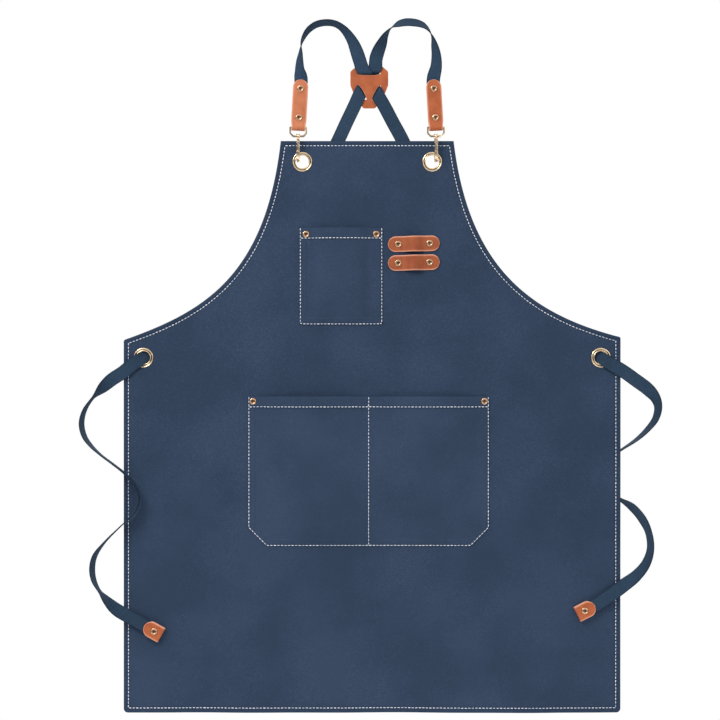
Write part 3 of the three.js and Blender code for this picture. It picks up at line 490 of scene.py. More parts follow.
def strap_frames(route, u):
    """The centre, the direction across, the normal and the width at each u: roll turns the width out of the XZ
    plane about the strap's own line, and skew slants its cross lines."""
    centre = curve_through(route[:, :3], u)
    turn = curve_through(route[:, 3:], u)
    along = unit(curve_through(route[:, :3], u + 1e-4) - curve_through(route[:, :3], u - 1e-4))
    level = unit(np.cross(along, [0, 1, 0]))
    out = np.cross(level, along)
    roll, skew = np.radians(turn[:, :1]), np.radians(turn[:, 1:])
    square = level * np.cos(roll) + out * np.sin(roll)
    flat = unit(along * [1, 0, 1])
    across = square * np.cos(skew) + flat * np.sin(skew)
    return centre, across, np.cross(along, square), WEBBING / np.cos(skew)


# The webbing's section with corded edges, from its middle to one edge: shares of the half width and half thickness.
HALF_A = np.array([0.3, 0.6, 0.85, 0.89, 0.93, 0.965, 0.99, 1])
HALF_N = np.array([0.85, 0.85, 0.8, 0.95, 1.05, 0.98, 0.7, 0.15])
SECTION_A = np.concatenate([-HALF_A[::-1], [0], HALF_A])
SECTION_N = np.concatenate([HALF_N[::-1], [0.85], HALF_N])
PER_SPAN = 8


def webbing_strap(name):
    """The webbing's section carried along its route. Near the waist grommet the edges ride on the rim while the
    middle dips into the bore, so an edge point takes the height that the middle has a little further on."""
    route, through = strap_route(name)
    u = np.linspace(0, 1, PER_SPAN * (len(route) - 1) + 1)
    centre, across, normal, width = strap_frames(route, u)
    s = travelled(centre)
    from_bore = s - s[PER_SPAN * through]
    a = np.concatenate([SECTION_A, SECTION_A[::-1]])
    n = np.concatenate([SECTION_N, -SECTION_N[::-1]])
    half = width[:, 0] / 2 - 0.6 * (1 - smooth((np.abs(from_bore) - 4.5) / 5.5))
    offset = half[:, None] * a[None, :]
    reach = np.minimum(np.abs(offset), 8.8)
    chord = np.sqrt(BORE_R**2 - reach**2)
    nearness = 1 - smooth((np.abs(from_bore) - 14) / 8)
    ahead = np.minimum(np.abs(from_bore)[:, None] * (BORE_R / chord - 1), BORE_R - chord) * nearness[:, None]
    later = s[:, None] + np.sign(from_bore)[:, None] * ahead
    dip = np.interp(later.ravel(), s, centre[:, 1]).reshape(later.shape) - centre[:, 1][:, None]
    outward = (n * WEBBING_THICK / 2)[None, :, None]
    points = centre[:, None] + across[:, None] * offset[..., None] + normal[:, None] * outward
    points[..., 1] += dip
    uv = np.stack([offset, np.broadcast_to(s[:, None], offset.shape)], axis=-1) * MM
    piece = make_piece(
        name + "_webbing", points, tube_faces(*offset.shape), WEBBING_CLOTH, "apron", uv=uv,
        values={"selvedge": np.broadcast_to(np.abs(a), offset.shape)}, replaced=[name + "_strap"])
    return piece, centre * MM, (centre, across, normal)


# ---- leather ----
def leather_section(width, thick, ease=0.5):
    """A rounded rectangle round each centre: its half width and half thickness less the corner's radius, plus the
    corner. The rim value is 1 on the corners and cut sides."""
    corner = np.linspace(0, math.pi / 2, 4)
    quarter = [(np.cos(f), np.sin(f)) for f in corner]
    inner = (-0.75, -0.4, 0, 0.4, 0.75)
    parts = [(1, 1, c, s) for c, s in quarter] + [(-f, 1, 0, 1) for f in inner]
    parts += [(-1, 1, -c, s) for c, s in quarter[::-1]] + [(-1, -1, -c, -s) for c, s in quarter]
    parts += [(f, -1, 0, -1) for f in inner] + [(1, -1, c, -s) for c, s in quarter[::-1]]
    sa, sn, ca, cn = np.array(parts).T
    half, deep = width[:, None] / 2, thick[:, None] / 2
    ra, rn = np.minimum(ease, half), np.minimum(ease, deep)
    a = sa * (half - ra) + ca * ra
    n = sn * (deep - rn) + cn * rn
    rim = np.where(np.abs(sa) == 1, np.where(np.abs(ca) > 0.3, 1.0, 0.6), 0.0)
    return a, n, np.broadcast_to(rim, a.shape)


def leather_strip(name, centre, across, normal, width, end, material, node):
    """The section carried along a centre line; end is the distance to the nearer cut end, where the strip thins."""
    thick = LEATHER * rounded(end, 0.5, least=0.0396)
    a, n, rim = leather_section(width, thick)
    rim = np.maximum(rim, (end < 0.45)[:, None])
    points = centre[:, None] + across[:, None] * a[..., None] + normal[:, None] * n[..., None]
    return make_piece(name, points, tube_faces(*a.shape), material, "apron", values={"rim": rim}, sharp=50,
                      replaced=[node])


def round_end(distance, radius):
    """The share of a strip's full width at a distance from its half-round end."""
    return rounded(distance, radius, least=0.0006)


def tool_loop(level):
    """A leather strip with round ends, flat under its rivets and arched between them as a squared cosine."""
    half = LOOP_LENGTH / 2
    x = -half * np.cos(np.linspace(0, math.pi, 81))

    def arch(x):
        return np.where(np.abs(x) < LOOP_REACH, LOOP_RISE * np.cos(x / LOOP_REACH * math.pi / 2) ** 2, 0)

    slope = (arch(x + 0.1) - arch(x - 0.1)) / 0.2
    tilt = math.radians(LOOP_TILT)
    run, up = np.array([math.cos(tilt), 0, math.sin(tilt)]), np.array([-math.sin(tilt), 0, math.cos(tilt)])
    centre = x[:, None] * run + np.array([LOOP_X, -1.8, LOOP_Z[level]]) - arch(x)[:, None] * [0, 1, 0]
    along = unit(run - slope[:, None] * [0, 1, 0])
    across = np.broadcast_to(up, centre.shape)
    width = LOOP_WIDTH * round_end(half - np.abs(x), LOOP_WIDTH / 2)
    leather_strip("tool_loop_" + level, centre, across, np.cross(along, across), width, half - np.abs(x), LOOP_HIDE,
                  "leather_loop_" + level)


def folded_strip(name, height, width, fold_width, fold_radius, gap, place, material, node):
    """A leather strip folded in two round an end: both layers run up with the gap between them, each with a
    half-round end. place gives the origin and the directions of the width, the depth and the height."""
    layer, bend = (gap + LEATHER) / 2, fold_radius + LEATHER / 2
    neck = 3 * bend
    side = [(layer, height), (layer, height * 0.75), (layer, max(height * 0.5, neck + 2)), (layer, neck),
            ((layer + bend) / 2, neck / 2), (bend, 0)]
    arc = [(bend * math.cos(f * math.pi), -bend * math.sin(f * math.pi)) for f in (0.25, 0.5, 0.75)]
    line = np.array([(y, z) for y, z in side + arc + [(-y, z) for y, z in side[::-1]]])
    dense = curve_through(line, np.linspace(0, 1, 1200))
    s = travelled(dense)
    ends = 1 - np.cos(np.linspace(0, math.pi / 2, 26))
    start = ends * width * 0.62
    at = np.concatenate([start, np.linspace(start[-1], s[-1] - start[-1], 90)[1:-1], s[-1] - start[::-1]])
    y, z = np.interp(at, s, dense[:, 0]), np.interp(at, s, dense[:, 1])
    origin, wide, deep, high = (np.array(v, float) for v in place)
    centre = origin + y[:, None] * deep + z[:, None] * high
    along = unit(np.gradient(centre, at, axis=0))
    across = np.broadcast_to(wide, centre.shape)
    end = np.minimum(at, s[-1] - at)
    full = fold_width + (width - fold_width) * smooth(z / neck)
    full = full * round_end(end, width / 2)
    return leather_strip(name, centre, across, np.cross(along, across), full, end, material, node)


def strap_tab(name):
    """The folded leather tab that holds a strap's end and, in its fold, the hook's eye."""
    side = -1 if name == "left" else 1
    lean = math.radians(TAB_LEAN) * side
    wide, high = (math.cos(lean), 0, math.sin(lean)), (-math.sin(lean), 0, math.cos(lean))
    place = [(HOOK_X[side > 0], 0, BAR_Z), wide, (0, 1, 0), high]
    # The left tab takes the paler copy of the leather: painted light.
    folded_strip(name + "_tab", TAB_LENGTH, TAB_WIDTH, TAB_FOLD_WIDTH, 2.6, WEBBING_THICK + 0.6, place,
                 LEFT_TAB_LIT_HIDE if name == "left" else HIDE, name + "_strap_tab")


def tie_tip(name, line):
    """The folded leather tip on a tie's end; its fold lies just past the webbing's cut end."""
    centre, across, normal = (v[-1] for v in line)
    along = np.cross(across, normal)
    place = [centre - 0.4 * along, across, np.cross(along, across), -along]
    return folded_strip(name + "_tip", TIP_LENGTH - LEATHER, TIP_WIDTH, TIP_WIDTH, WEBBING_THICK / 2 + 0.3,
                        WEBBING_THICK + 0.6, place, HIDE, name + "_tie_tip")


def slot_outline(length, height, x, z, slant):
    """A slot that narrows to a small round hole at each end, turned by its slant."""
    r, shoulder = 1.2, 6
    half = length / 2 - r
    a = np.linspace(-math.pi / 2, math.pi / 2, 8)
    hole = np.stack([half + r * np.cos(a), r * np.sin(a)], axis=1)
    right = np.concatenate([[(half - shoulder, -height / 2)], hole, [(half - shoulder, height / 2)]])
    points = np.concatenate([right, -right])
    c, s = math.cos(math.radians(slant)), math.sin(math.radians(slant))
    return points @ np.array([[c, s], [-s, c]]) + [x, z]


def cross_patch():
    """A flat leather plate with rounded edges, cut from its outline and three slots."""
    outline = np.array(PATCH_HALF_OUTLINE + [(-x, z) for x, z in PATCH_HALF_OUTLINE[::-1]], float)
    eased, corner_cut, ease = [], 2.2, 0.45
    t = np.linspace(0, 1, 6)[:, None]
    for before, corner, after in zip(np.roll(outline, 1, 0), outline, np.roll(outline, -1, 0)):
        a, b = corner + corner_cut * unit(before - corner), corner + corner_cut * unit(after - corner)
        eased.append((1 - t) ** 2 * a + 2 * t * (1 - t) * corner + t**2 * b)
    across_slot = WEBBING / math.cos(math.radians(SKEW))
    top_height, low_height = 3 * WEBBING_THICK + 1.2, 2 * WEBBING_THICK + 1.4
    lines = [np.concatenate(eased), slot_outline(across_slot + 10.5, top_height, -0.5, 20.5, 0)]
    for side in (-1, 1):
        lines.append(slot_outline(across_slot + 1, low_height, side * 10, -7, side * 61))
    drawing = bpy.data.curves.new("patch_drawing", "CURVE")
    drawing.dimensions, drawing.fill_mode = "2D", "BOTH"
    drawing.extrude, drawing.bevel_depth, drawing.bevel_resolution = (PATCH_THICK / 2 - ease) * MM, ease * MM, 3
    drawing.offset = -ease * MM
    for line in lines:
        spline = drawing.splines.new("POLY")
        spline.points.add(len(line) - 1)
        spline.points.foreach_set("co", np.column_stack([line * MM, 0 * line[:, 0], 1 + 0 * line[:, 0]]).ravel())
        spline.use_cyclic_u = True
    flat = add_object("patch_drawing", drawing)
    bpy.context.view_layer.update()
    mesh = bpy.data.meshes.new_from_object(flat.evaluated_get(bpy.context.evaluated_depsgraph_get()))
    bpy.data.objects.remove(flat)
    co = np.zeros(len(mesh.vertices) * 3)
    mesh.vertices.foreach_get("co", co)
    x, z, depth = co.reshape(-1, 3).T / MM
    points = np.stack([x + PATCH[0], depth + PATCH[1], z + PATCH[2]], axis=1)
    faces = [list(p.vertices) for p in mesh.polygons]
    rim = (np.abs(depth) < PATCH_THICK / 2 - 0.03).astype(float)
    bpy.data.meshes.remove(mesh)
    make_piece("cross_patch_leather", points, faces, HIDE, "apron", values={"rim": rim}, sharp=50,
               replaced=["cross_patch"])


# ---- rivets, and the cords: both straps with their tips ----
def rivet(name, node):
    """A capped rivet turned round its axis: a domed ring with a hollow centre in front, darkened with painted shade,
    and a low rolled cap behind.
    """
    low, high = (np.array(v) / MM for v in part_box(node))
    place = ((low[0] + high[0]) / 2, (low[2] + high[2]) / 2)
    cap, roll = low[1] + 1.3, high[1] - 0.8
    front = [(0, -0.32), (1.2, -0.3), (2.2, -0.36), (2.6, -0.6), (2.95, -1.05), (3.35, -1.26), (3.8, -1.28),
             (4.2, -1.15), (4.55, -0.88), (4.78, -0.5), (4.8, -0.2), (4.7, 0), (1.5, 0)]
    back = [(1.5, 0), (3.9, 0), (4.0, 0.25), (3.85, 0.6), (3.3, 0.8), (2.4, 0.78), (1.7, 0.5), (0.9, 0.4), (0, 0.4)]
    profile = [(r, cap + y) for r, y in front] + [(r, roll + y) for r, y in back]
    # Painted shade in the hollow centre.
    recess_shade = [r < 2.7 and y < cap for r, y in profile]
    return lathed_piece(name, profile, recess_shade, place, 36, 60, COPPER, node)


for strap in ("left", "right"):
    tie = "right" if strap == "left" else "left"
    webbing, path, line = webbing_strap(strap)
    tip = tie_tip(tie, line)
    tip_rivet = rivet(tie + "_tip_rivet", tie + "_tie_rivet")


# ---- canvas panel ----
def armhole(side, inset=0.0):
    """One armhole as a cubic Bezier from the bib's corner to the waist's, moved inwards by the inset."""
    x0, x3 = BIB_X + side * BIB_WIDTH / 2, SKIRT_X + side * PANEL_WIDTH / 2
    z3 = WAIST_Z + WAIST_RISE[side]
    handles = [(x0 + (x3 - x0) * a, BIB_TOP_Z + (z3 - BIB_TOP_Z) * d) for a, d in ARMHOLE_HANDLES[side]]
    p = np.array([(x0, BIB_TOP_Z), *handles, (x3, z3)])
    t = np.linspace(0, 1, 400)[:, None]
    line = (1 - t) ** 3 * p[0] + 3 * (1 - t) ** 2 * t * p[1] + 3 * (1 - t) * t**2 * p[2] + t**3 * p[3]
    along = unit(np.gradient(line, axis=0))
    inward = np.stack([along[:, 1] * side, -along[:, 0] * side], axis=1)
    return line + inward * inset


def side_x(side, inset, z):
    """The panel's side edge, moved inwards, at each height: the armhole down to where it meets the straight side."""
    line = armhole(side, inset)
    limit = SKIRT_X + side * (PANEL_WIDTH / 2 - inset)
    above = line[0] + (line[0] - line[1]) * 400
    x = np.interp(-z, -np.concatenate([[above[1]], line[:, 1]]), np.concatenate([[above[0]], line[:, 0]]))
    x = np.where(z < line[-1, 1], limit, x)
    return np.minimum(x, limit) if side > 0 else np.maximum(x, limit)


def hang(x, z):
    """How far the cloth hangs out of its plane: nothing above the pockets, then slow waves that grow to the hem."""
    grow = smooth((-560 - z) / 420)
    clear = 1 - 0.85 * bell(x - 292, 60) - 0.85 * bell(x + 300, 60)
    wave = np.sin((x + 40) / 58) * 0.6 + np.sin((x - 30) / 23 + 1.3) * 0.22 + np.sin((x + 3 * z / 10) / 95) * 0.4
    return 4.5 * grow * clear * wave


def layer_thickness(edge):
    """How thick the panel is at a distance from its cut outline, in front of and behind its middle plane."""
    turn = rounded(edge, 1.1)
    front = 0.5 * turn + 0.35 * bell(edge - 3.2, 2.0) - 0.25 * bell(edge - HEM_STITCH, 0.9)
    return front, 0.5 + turn * (1 - smooth((edge - HEM_WIDTH) / 0.5))


def panel():
    """The hemmed panel: rows between its two side edges, closer together along every edge, with round lower corners
    and a round hole under each grommet."""
    hole_cut, hole_r, far = 10.5, 11.6, 99
    near = np.array([0, 0.25, 0.7, 1.3, 2.3, 3.4, 4.6, 5.7, 6.3, 6.7, 7.1, 7.8, 8.9, 10, 10.5, 12])
    upper = np.arange(BIB_TOP_Z - 14.5, WAIST_Z + 14, -3.0)
    waist = np.arange(WAIST_Z + 14, WAIST_Z - 14, -1.75)
    lower = np.arange(WAIST_Z - 14, HEM_Z + 14, -4.2)
    z = np.concatenate([BIB_TOP_Z - near, upper, waist, lower, (HEM_Z + near)[::-1]])
    left = np.stack([side_x(-1, d, z) for d in near], axis=1)
    right = np.stack([side_x(1, d, z) for d in near[::-1]], axis=1)
    share = np.linspace(0, 1, 112)[None, 1:-1]
    middle = left[:, -1:] + (right[:, :1] - left[:, -1:]) * share
    x = np.concatenate([left, middle, right], axis=1)
    rows, columns = x.shape
    z = np.broadcast_to(z[:, None], x.shape).copy()
    sideways = np.concatenate([near, np.full(share.size, far), near[::-1]])[None]
    edge = np.minimum(np.minimum(sideways, BIB_TOP_Z - z), z - HEM_Z)
    for side in (-1, 1):
        corner_x = SKIRT_X + side * (PANEL_WIDTH / 2 - CORNER_R)
        u = (x - corner_x) * side / CORNER_R
        v = (HEM_Z + CORNER_R - z) / CORNER_R
        inside = (u > 0) & (v > 0)
        pull = np.where(inside, np.maximum(u, v) / np.maximum(np.hypot(u, v), 1e-9), 1)
        x = np.where(inside, corner_x + side * u * pull * CORNER_R, x)
        z = np.where(inside, HEM_Z + CORNER_R - v * pull * CORNER_R, z)
    faces = grid_faces(rows, columns)
    x, z, edge = x.ravel(), z.ravel(), edge.ravel()
    for gx, gz in GROMMETS.values():
        cx, cz = x[faces].mean(1), z[faces].mean(1)
        cut = np.hypot(cx - gx, cz - gz) < hole_cut
        rim = np.intersect1d(np.unique(faces[cut]), np.unique(faces[~cut]))
        faces = faces[~cut]
        r = np.maximum(np.hypot(x[rim] - gx, z[rim] - gz), 1e-6)
        x[rim], z[rim] = gx + (x[rim] - gx) / r * hole_r, gz + (z[rim] - gz) / r * hole_r
    used, flat = np.unique(faces, return_inverse=True)
    faces, x, z, edge = flat.reshape(-1, 4), x[used], z[used], edge[used]
    front, back = layer_thickness(edge)
    y = hang(x, z)
    points, faces = closed_sheet(np.stack([x, y - front, z], 1), np.stack([x, y + back, z], 1), faces)
    # Mask of the hem's stitch line and folded hem, for the puckers and grooves and for the painted shade along them.
    seam_and_shade = bell(edge - HEM_STITCH, 2.2) + 0.45 * (edge < HEM_STITCH)
    piece = make_piece("canvas_panel_cloth", points, faces.tolist(), CANVAS, "apron",
                       values={"seam_and_shade": np.tile(np.clip(seam_and_shade, 0, 1), 2)}, sharp=60, replaced=["canvas_panel"])
    hem = [(SKIRT_X + side * PANEL_WIDTH / 2, HEM_Z) for side in (1, -1)]
    x, z = np.concatenate([armhole(1), hem, armhole(-1)[::-1]]).T


GROMMETS = {}
for level in ("bib", "waist"):
    for side in ("left", "right"):
        low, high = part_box(f"{level}_grommet_{side}_eyelet")
        GROMMETS[f"{level}_grommet_{side}"] = ((low.x + high.x) / 2 / MM, (low.z + high.z) / 2 / MM)
panel()


# ---- pockets ----
def pocket_half(pocket, up):
    """Half the pocket's width at a height above its foot, where its lower corners are cut off."""
    return pocket["width"] / 2 - np.clip(pocket["chamfer"] - up, 0, pocket["chamfer"])


def pocket_lift(pocket, across, up):
    """How far the pocket stands off the panel: nothing along its seams, and the full depth in each compartment's
    middle above the rise, as (1 - q^4)^2 across and a cubic ease upwards."""
    half = pocket["width"] / 2
    divided = pocket["divided"]
    room = half if divided else pocket["width"]
    other = DIVIDER_SEAM if divided else POCKET_SEAM
    from_outer = half - np.abs(across) if divided else half + across
    q = np.clip(np.abs(2 * (from_outer - POCKET_SEAM) / (room - POCKET_SEAM - other) - 1), 0, 1)
    rise = np.clip(up / POCKET_RISE, 0, 1)
    return POCKET_DEPTH * (1 - q**4) ** 2 * (1 - (1 - rise) ** 3)


def mouth_fold(to_top):
    """At a distance below the mouth: the share of a layer's thickness at the fold, and 1 over the turned hem."""
    return rounded(to_top, 1.0), 1 - smooth((to_top - MOUTH_HEM) / 0.5)


def pocket_back(pocket, across, up):
    """The y of the pocket's inner face: its lift, and one more layer under the mouth's hem."""
    fold, hem = mouth_fold(pocket["height"] - up)
    return -0.8 - pocket_lift(pocket, across, up) - hem * (1 - fold)


def pocket_front(pocket, across, up):
    """The y of the pocket's outer face: one layer of cloth before the inner face, a second at the mouth's hem and a
    little more over the turned-in edges, all eased to nothing at the outline."""
    to_top = pocket["height"] - up
    edge = np.minimum(pocket_half(pocket, up) - np.abs(across), up)
    fold, hem = mouth_fold(to_top)
    band = 0.4 * (1 - smooth((edge - 9) / 0.8)) * (1 - hem)
    groove = 0.22 * bell(edge - EDGE_STITCH, 0.7) + 0.22 * bell(to_top - MOUTH_STITCH, 0.8)
    if pocket["divided"]:
        groove = groove + 0.25 * bell(across, 1.0)
    return pocket_back(pocket, across, up) - (1.0 + hem + band - groove) * rounded(edge, 0.9) * fold


def pocket_cloth(name, pocket):
    """A pocket's two faces on one grid, closer together along its edges and its mouth, and its closed outline."""
    near = np.array([0, 0.2, 0.5, 0.9, 1.5, 2.2, 3.2, 5, 7, 8.8, 9.3, 9.9, 12])
    mouth = np.array([18, 16.2, 15.7, 15.4, 15.1, 14.6, 14, 13.4, 12, 10, 7, 4, 2, 1, 0.6, 0.3, 0.1, 0])
    height, half = pocket["height"], pocket["width"] / 2
    flat = half - near[-1]
    up = np.concatenate([near, np.arange(15, height - 20, 3.5), height - mouth])
    inner = np.linspace(-flat, flat, int(pocket["width"] / 2.6) | 1)
    share = np.concatenate([-half + near[:-1], inner, (half - near[:-1])[::-1]])
    up = np.broadcast_to(up[:, None], (len(up), len(share)))
    narrow = half - pocket_half(pocket, up)
    across = share - np.sign(share) * narrow * np.clip(np.abs(share) / flat, 0, 1)
    x, z = pocket["x"] + across, pocket["top"] - height + up
    layers = [np.stack([x, hang(x, z) + face(pocket, across, up), z], axis=-1).reshape(-1, 3)
              for face in (pocket_front, pocket_back)]
    points, faces = closed_sheet(*layers, grid_faces(*x.shape))
    edge = np.minimum(pocket_half(pocket, up) - np.abs(across), up)
    # Mask of the pocket's stitch lines, for the puckers and grooves and for the painted shade along them.
    seam_and_shade = bell(edge - EDGE_STITCH, 1.6) + bell(height - up - MOUTH_STITCH, 1.4)
    if pocket["divided"]:
        seam_and_shade = seam_and_shade + bell(across, 1.6)
    piece = make_piece(name + "_cloth", points, faces.tolist(), POCKET_CANVAS, "apron",
                       values={"seam_and_shade": np.tile(np.clip(seam_and_shade, 0, 1).ravel(), 2)}, sharp=60, replaced=[name])


pocket_cloth("chest_pocket", CHEST_POCKET)
pocket_cloth("lower_pocket", LOWER_POCKET)


# ---- stitching ----
def stitches(lines, outward):
    """One short thread for each pitch along the lines: rings of six points whose ends taper and sink in."""
    rings, sides = 5, 6
    starts, ends = [], []
    for line in lines:
        s = travelled(line)
        count = int(round(s[-1] / PITCH))
        middle = (np.arange(count) + 0.5) * s[-1] / count
        for found, shift in ((starts, -STITCH_LENGTH / 2), (ends, STITCH_LENGTH / 2)):
            found.append(np.stack([np.interp(middle + shift, s, line[:, k]) for k in range(3)], axis=1))
    a, b = np.concatenate(starts), np.concatenate(ends)
    count = len(a)
    wobble = rng.normal(0, 0.09, (2, count, 1))
    along, out = unit(b - a), np.array([0.0, outward, 0.0])
    sideways = unit(np.cross(along, out))
    a, b = a + sideways * wobble[0], b + sideways * wobble[1]
    f = np.array([0, 0.14, 0.5, 0.86, 1])[None, :, None, None]
    radius = (STITCH_THICK / 2) * np.array([0.35, 0.85, 1, 0.85, 0.35])[None, :, None, None]
    sink = np.array([-0.22, 0.0, 0.12, 0.0, -0.22])[None, :, None, None]
    turn = np.arange(sides) * 2 * math.pi / sides
    c, s = np.cos(turn)[None, None, :, None], np.sin(turn)[None, None, :, None]
    centre = a[:, None, None] * (1 - f) + b[:, None, None] * f
    points = centre + sideways[:, None, None] * radius * c + out * (radius * s * 0.8 + sink)
    shift = np.arange(count)[:, None, None] * rings * sides
    walls = (grid_faces(rings, sides, closed=True)[None] + shift).reshape(-1, 4).tolist()
    caps = np.arange(rings * sides).reshape(rings, sides)[[0, -1]][None] + shift
    tone = np.repeat(np.clip(rng.normal(0.6, 0.25, count), 0, 1), rings * sides)
    return points.reshape(-1, 3), walls + caps.reshape(-1, sides).tolist(), tone


def stitch_piece(name, lines, outward=-1.0):
    points, faces, tone = stitches(lines, outward)
    make_piece(name, points, faces, THREAD, "apron", values={"tone": tone}, sharp=80)


def on_panel(line, y):
    """Points of a flat line set at a depth on the hanging panel."""
    x, z = np.array(line, float).T
    return np.stack([x, hang(x, z) + y, z], axis=1)


def even(points, step=3.0):
    """A straight run of points along each leg of a line."""
    parts = [np.array([points[0]], float)]
    for a, b in zip(points[:-1], points[1:]):
        count = max(2, int(math.dist(a, b) / step))
        parts.append(np.linspace(a, b, count + 1)[1:])
    return np.concatenate(parts)


def hem_lines(y):
    """The hem's stitch lines, all at one distance inside the cut outline, meeting at its six corners."""
    d, lines, sides = HEM_STITCH, [], {}
    low, top = HEM_Z + d, BIB_TOP_Z - d
    for side in (-1, 1):
        line = armhole(side, d)
        limit = SKIRT_X + side * (PANEL_WIDTH / 2 - d)
        line = line[(line[:, 1] <= top) & ((limit - line[:, 0]) * side >= 0)]
        sides[side] = (line[0, 0], limit)
        lines += [line, even([(limit, line[-1, 1] + 1), (limit, low)])]
    for z, (left, right) in zip((top, low), zip(sides[-1], sides[1])):
        lines.append(even([(left, z), (right, z)]))
    return [on_panel(line, y) for line in lines]


def pocket_lines(pocket):
    """The stitch lines on a pocket's outer face: round three sides, along the mouth and down the divider."""
    inset, height = EDGE_STITCH, pocket["height"]
    half, cut = pocket["width"] / 2 - inset, pocket["chamfer"]
    slant = inset * (math.sqrt(2) - 1)
    outline = [(-half, height)]
    if cut:
        outline += [(-half, cut + slant), (-half + cut - inset + slant, inset)]
        outline += [(half - cut + inset - slant, inset), (half, cut + slant)]
    else:
        outline += [(-half, inset), (half, inset)]
    lines = [even(outline + [(half, height)]), even([(-half, height - MOUTH_STITCH), (half, height - MOUTH_STITCH)])]
    if pocket["divided"]:
        lines.append(even([(0, inset), (0, height)]))
    placed = []
    for across, up in (line.T for line in lines):
        x, z = pocket["x"] + across, pocket["top"] - height + up
        y = pocket_front(pocket, across, np.minimum(up, height - 1.2)) + hang(x, z) - 0.1
        placed.append(np.stack([x, y, z], axis=1))
    return placed


stitch_piece("hem_stitching", hem_lines(-0.42))
stitch_piece("hem_stitching_back", hem_lines(1.6), outward=1.0)
stitch_piece("chest_pocket_stitching", pocket_lines(CHEST_POCKET))
stitch_piece("lower_pocket_stitching", pocket_lines(LOWER_POCKET))


# ---- leather and metal fittings ----
for level in LOOP_Z:
    tool_loop(level)
cross_patch()


def grommet(name, place):
    """A rolled eyelet with a groove in its flange, darkened with painted shade, and a washer behind, both turned
    round the bore's axis.
    """
    eyelet = [(9.2, 2.1), (9.2, -0.9), (9.3, -1.6), (9.55, -1.95), (9.9, -2.05), (10.3, -1.95), (10.6, -1.6),
              (10.9, -1.2), (11.4, -1.1), (11.9, -1.2), (12.2, -1.55), (12.6, -1.85), (13.1, -1.9), (13.6, -1.7),
              (13.9, -1.35), (14, -0.95), (13.8, -0.8), (9.9, -0.8), (9.9, 1.8), (10.7, 1.8), (10.85, 2.0),
              (10.6, 2.2), (10, 2.28), (9.5, 2.25)]
    washer = [(10.2, 0.8), (14, 0.8), (14.05, 1.0), (13.7, 1.45), (13, 1.68), (12, 1.74), (11, 1.7), (10.2, 1.6)]
    for part, profile in (("eyelet", eyelet), ("washer", washer)):
        # Painted shade in the flange's groove.
        groove = [10.5 < r < 12.1 and y < -1 for r, y in profile]
        lathed_piece(f"{name}_{part}_ring", profile, groove, place, 64, 50, GOLD, f"{name}_{part}")


for name, place in GROMMETS.items():
    grommet(name, place)
for node in sorted(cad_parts):
    if "rivet" in node and "tie" not in node:
        rivet(node + "_cap", node)


def eased_copy(node, name, material, body, ease):
    """The part's own shape with its points merged and every hard edge rounded over."""
    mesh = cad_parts[node].data.copy()
    mesh.name = name
    shell = bmesh.new()
    shell.from_mesh(mesh)
    bmesh.ops.remove_doubles(shell, verts=shell.verts, dist=2e-6)
    bmesh.ops.dissolve_limit(shell, angle_limit=math.radians(2), verts=shell.verts, edges=shell.edges)
    shell.to_mesh(mesh)
    shell.free()
    mesh.materials.clear()
    mesh.materials.append(material)
    mesh.shade_smooth()
    piece = add_object(name, mesh)
    bevel = piece.modifiers.new("eased_edges", "BEVEL")
    bevel.width, bevel.segments, bevel.limit_method = ease * MM, 3, "ANGLE"
    bevel.angle_limit = math.radians(28)
    bevel.use_clamp_overlap = bevel.harden_normals = True
    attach(piece, body)
    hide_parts(node)


def gate_spring(side):
    """A round wire wound as a helix about the gate's pin."""
    low, high = (np.array(v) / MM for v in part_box(side + "_gate_spring"))
    x, y, z = (low + high) / 2
    wire, turns, rings, sides = 0.17, 2, 61, 8
    radius, run = (high[1] - low[1]) / 2 - wire, high[0] - low[0] - 2 * wire
    t = np.linspace(0, 1, rings)[:, None]
    a, b = 2 * math.pi * turns * t, np.linspace(0, 2 * math.pi, sides, endpoint=False)[None]
    r = radius + wire * np.cos(b)
    points = np.stack([x + run * (t - 0.5) + wire * np.sin(b), y + r * np.cos(a), z + r * np.sin(a)], axis=-1)
    make_piece(side + "_spring_wire", points, tube_faces(rings, sides), STEEL, side + "_hook",
               replaced=[side + "_gate_spring"])


for side in ("left", "right"):
    strap_tab(side)
    eased_copy(side + "_hook_eye", side + "_eye_ring", GOLD, side + "_eye", 0.5)
    eased_copy(side + "_hook_body", side + "_hook_shape", GOLD, side + "_hook", 0.45)
    eased_copy(side + "_gate", side + "_gate_shape", GOLD, side + "_gate_lever", 0.25)
    eased_copy(side + "_gate_pin", side + "_pin_shape", STEEL, side + "_hook", 0.12)
    gate_spring(side)


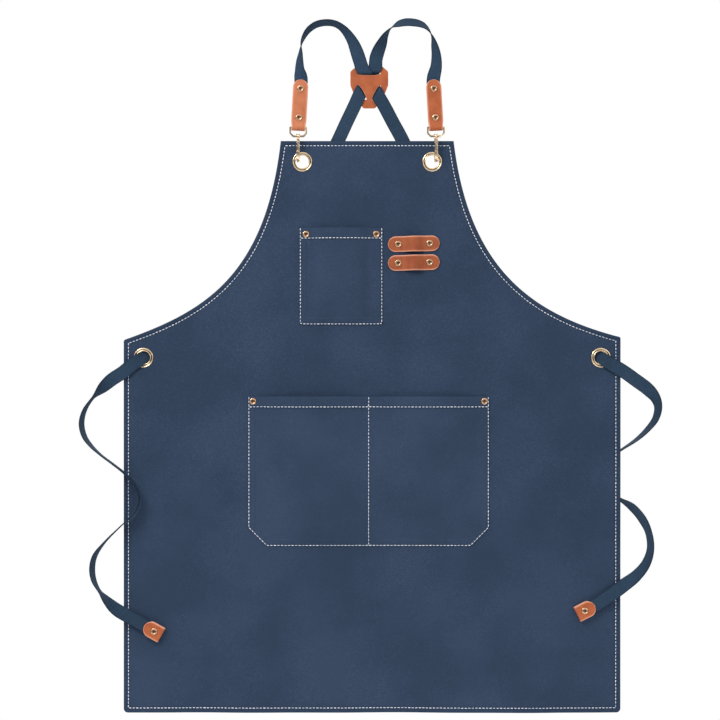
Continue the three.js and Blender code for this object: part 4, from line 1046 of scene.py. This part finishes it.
# ---- stage and light ----
def add_floor():
    """A pale floor below the hem, seen only from raised or turned views."""
    size, z = 1.0, -1.2
    mesh = bpy.data.meshes.new("floor")
    mesh.from_pydata([(-size, -size, z), (size, -size, z), (size, size, z), (-size, size, z)], [], [(0, 1, 2, 3)])
    floor = add_object("floor", mesh)
    material, t, shader, place = new_material("pale_floor")
    color = t.mix(t.noise(place, 40.0), (0.86, 0.86, 0.86, 1), (0.9, 0.9, 0.9, 1))
    t.feed(shader, {"Base Color": color, "Roughness": 0.9})
    mesh.materials.append(material)


def add_area(name, place, target, size, power):
    """A square lamp that faces its target."""
    data = bpy.data.lights.new(name, "AREA")
    data.shape, data.size, data.energy = "SQUARE", size, power
    light = add_object(name, data)
    light.location = place
    toward = np.array(target) - np.array(place)
    flat = math.hypot(toward[0], toward[1])
    light.rotation_euler = (math.atan2(flat, -toward[2]), 0, math.atan2(-toward[0], toward[1]))


def add_world():
    """White behind the apron for the camera, and for light and gloss a sky that is bright above and dim below."""
    world = bpy.data.worlds.new("studio")
    bpy.context.scene.world = world
    world.use_nodes = True
    world.node_tree.nodes.clear()
    t = Tree(world.node_tree)
    up = t.put("ShaderNodeSeparateXYZ", {0: t.put("ShaderNodeTexCoord").outputs["Generated"]}).outputs[2]
    low_sky = t.mix(t.spread(up, -0.7, -0.05), (0.75, 0.75, 0.77, 1), (0.22, 0.22, 0.23, 1))
    sky = t.mix(t.spread(up, 0.08, 0.42), low_sky, (1.05, 1.05, 1.07, 1))
    color = t.mix(t.put("ShaderNodeLightPath").outputs["Is Camera Ray"], sky, (1, 1, 1, 1))
    t.put("ShaderNodeOutputWorld", {0: t.put("ShaderNodeBackground", {0: color, 1: 1.0}).outputs[0]})


add_floor()
add_world()
add_area("key", (-1.35, -1.7, 0.95), (-0.05, 0, -0.4), 1.2, 38)
add_area("fill", (1.5, -1.8, -0.1), (0, 0, -0.5), 1.4, 8)
add_area("back", (0.6, 1.8, 0.4), (0, 0, -0.5), 1.2, 14)
bpy.context.scene.view_settings.view_transform = "Standard"
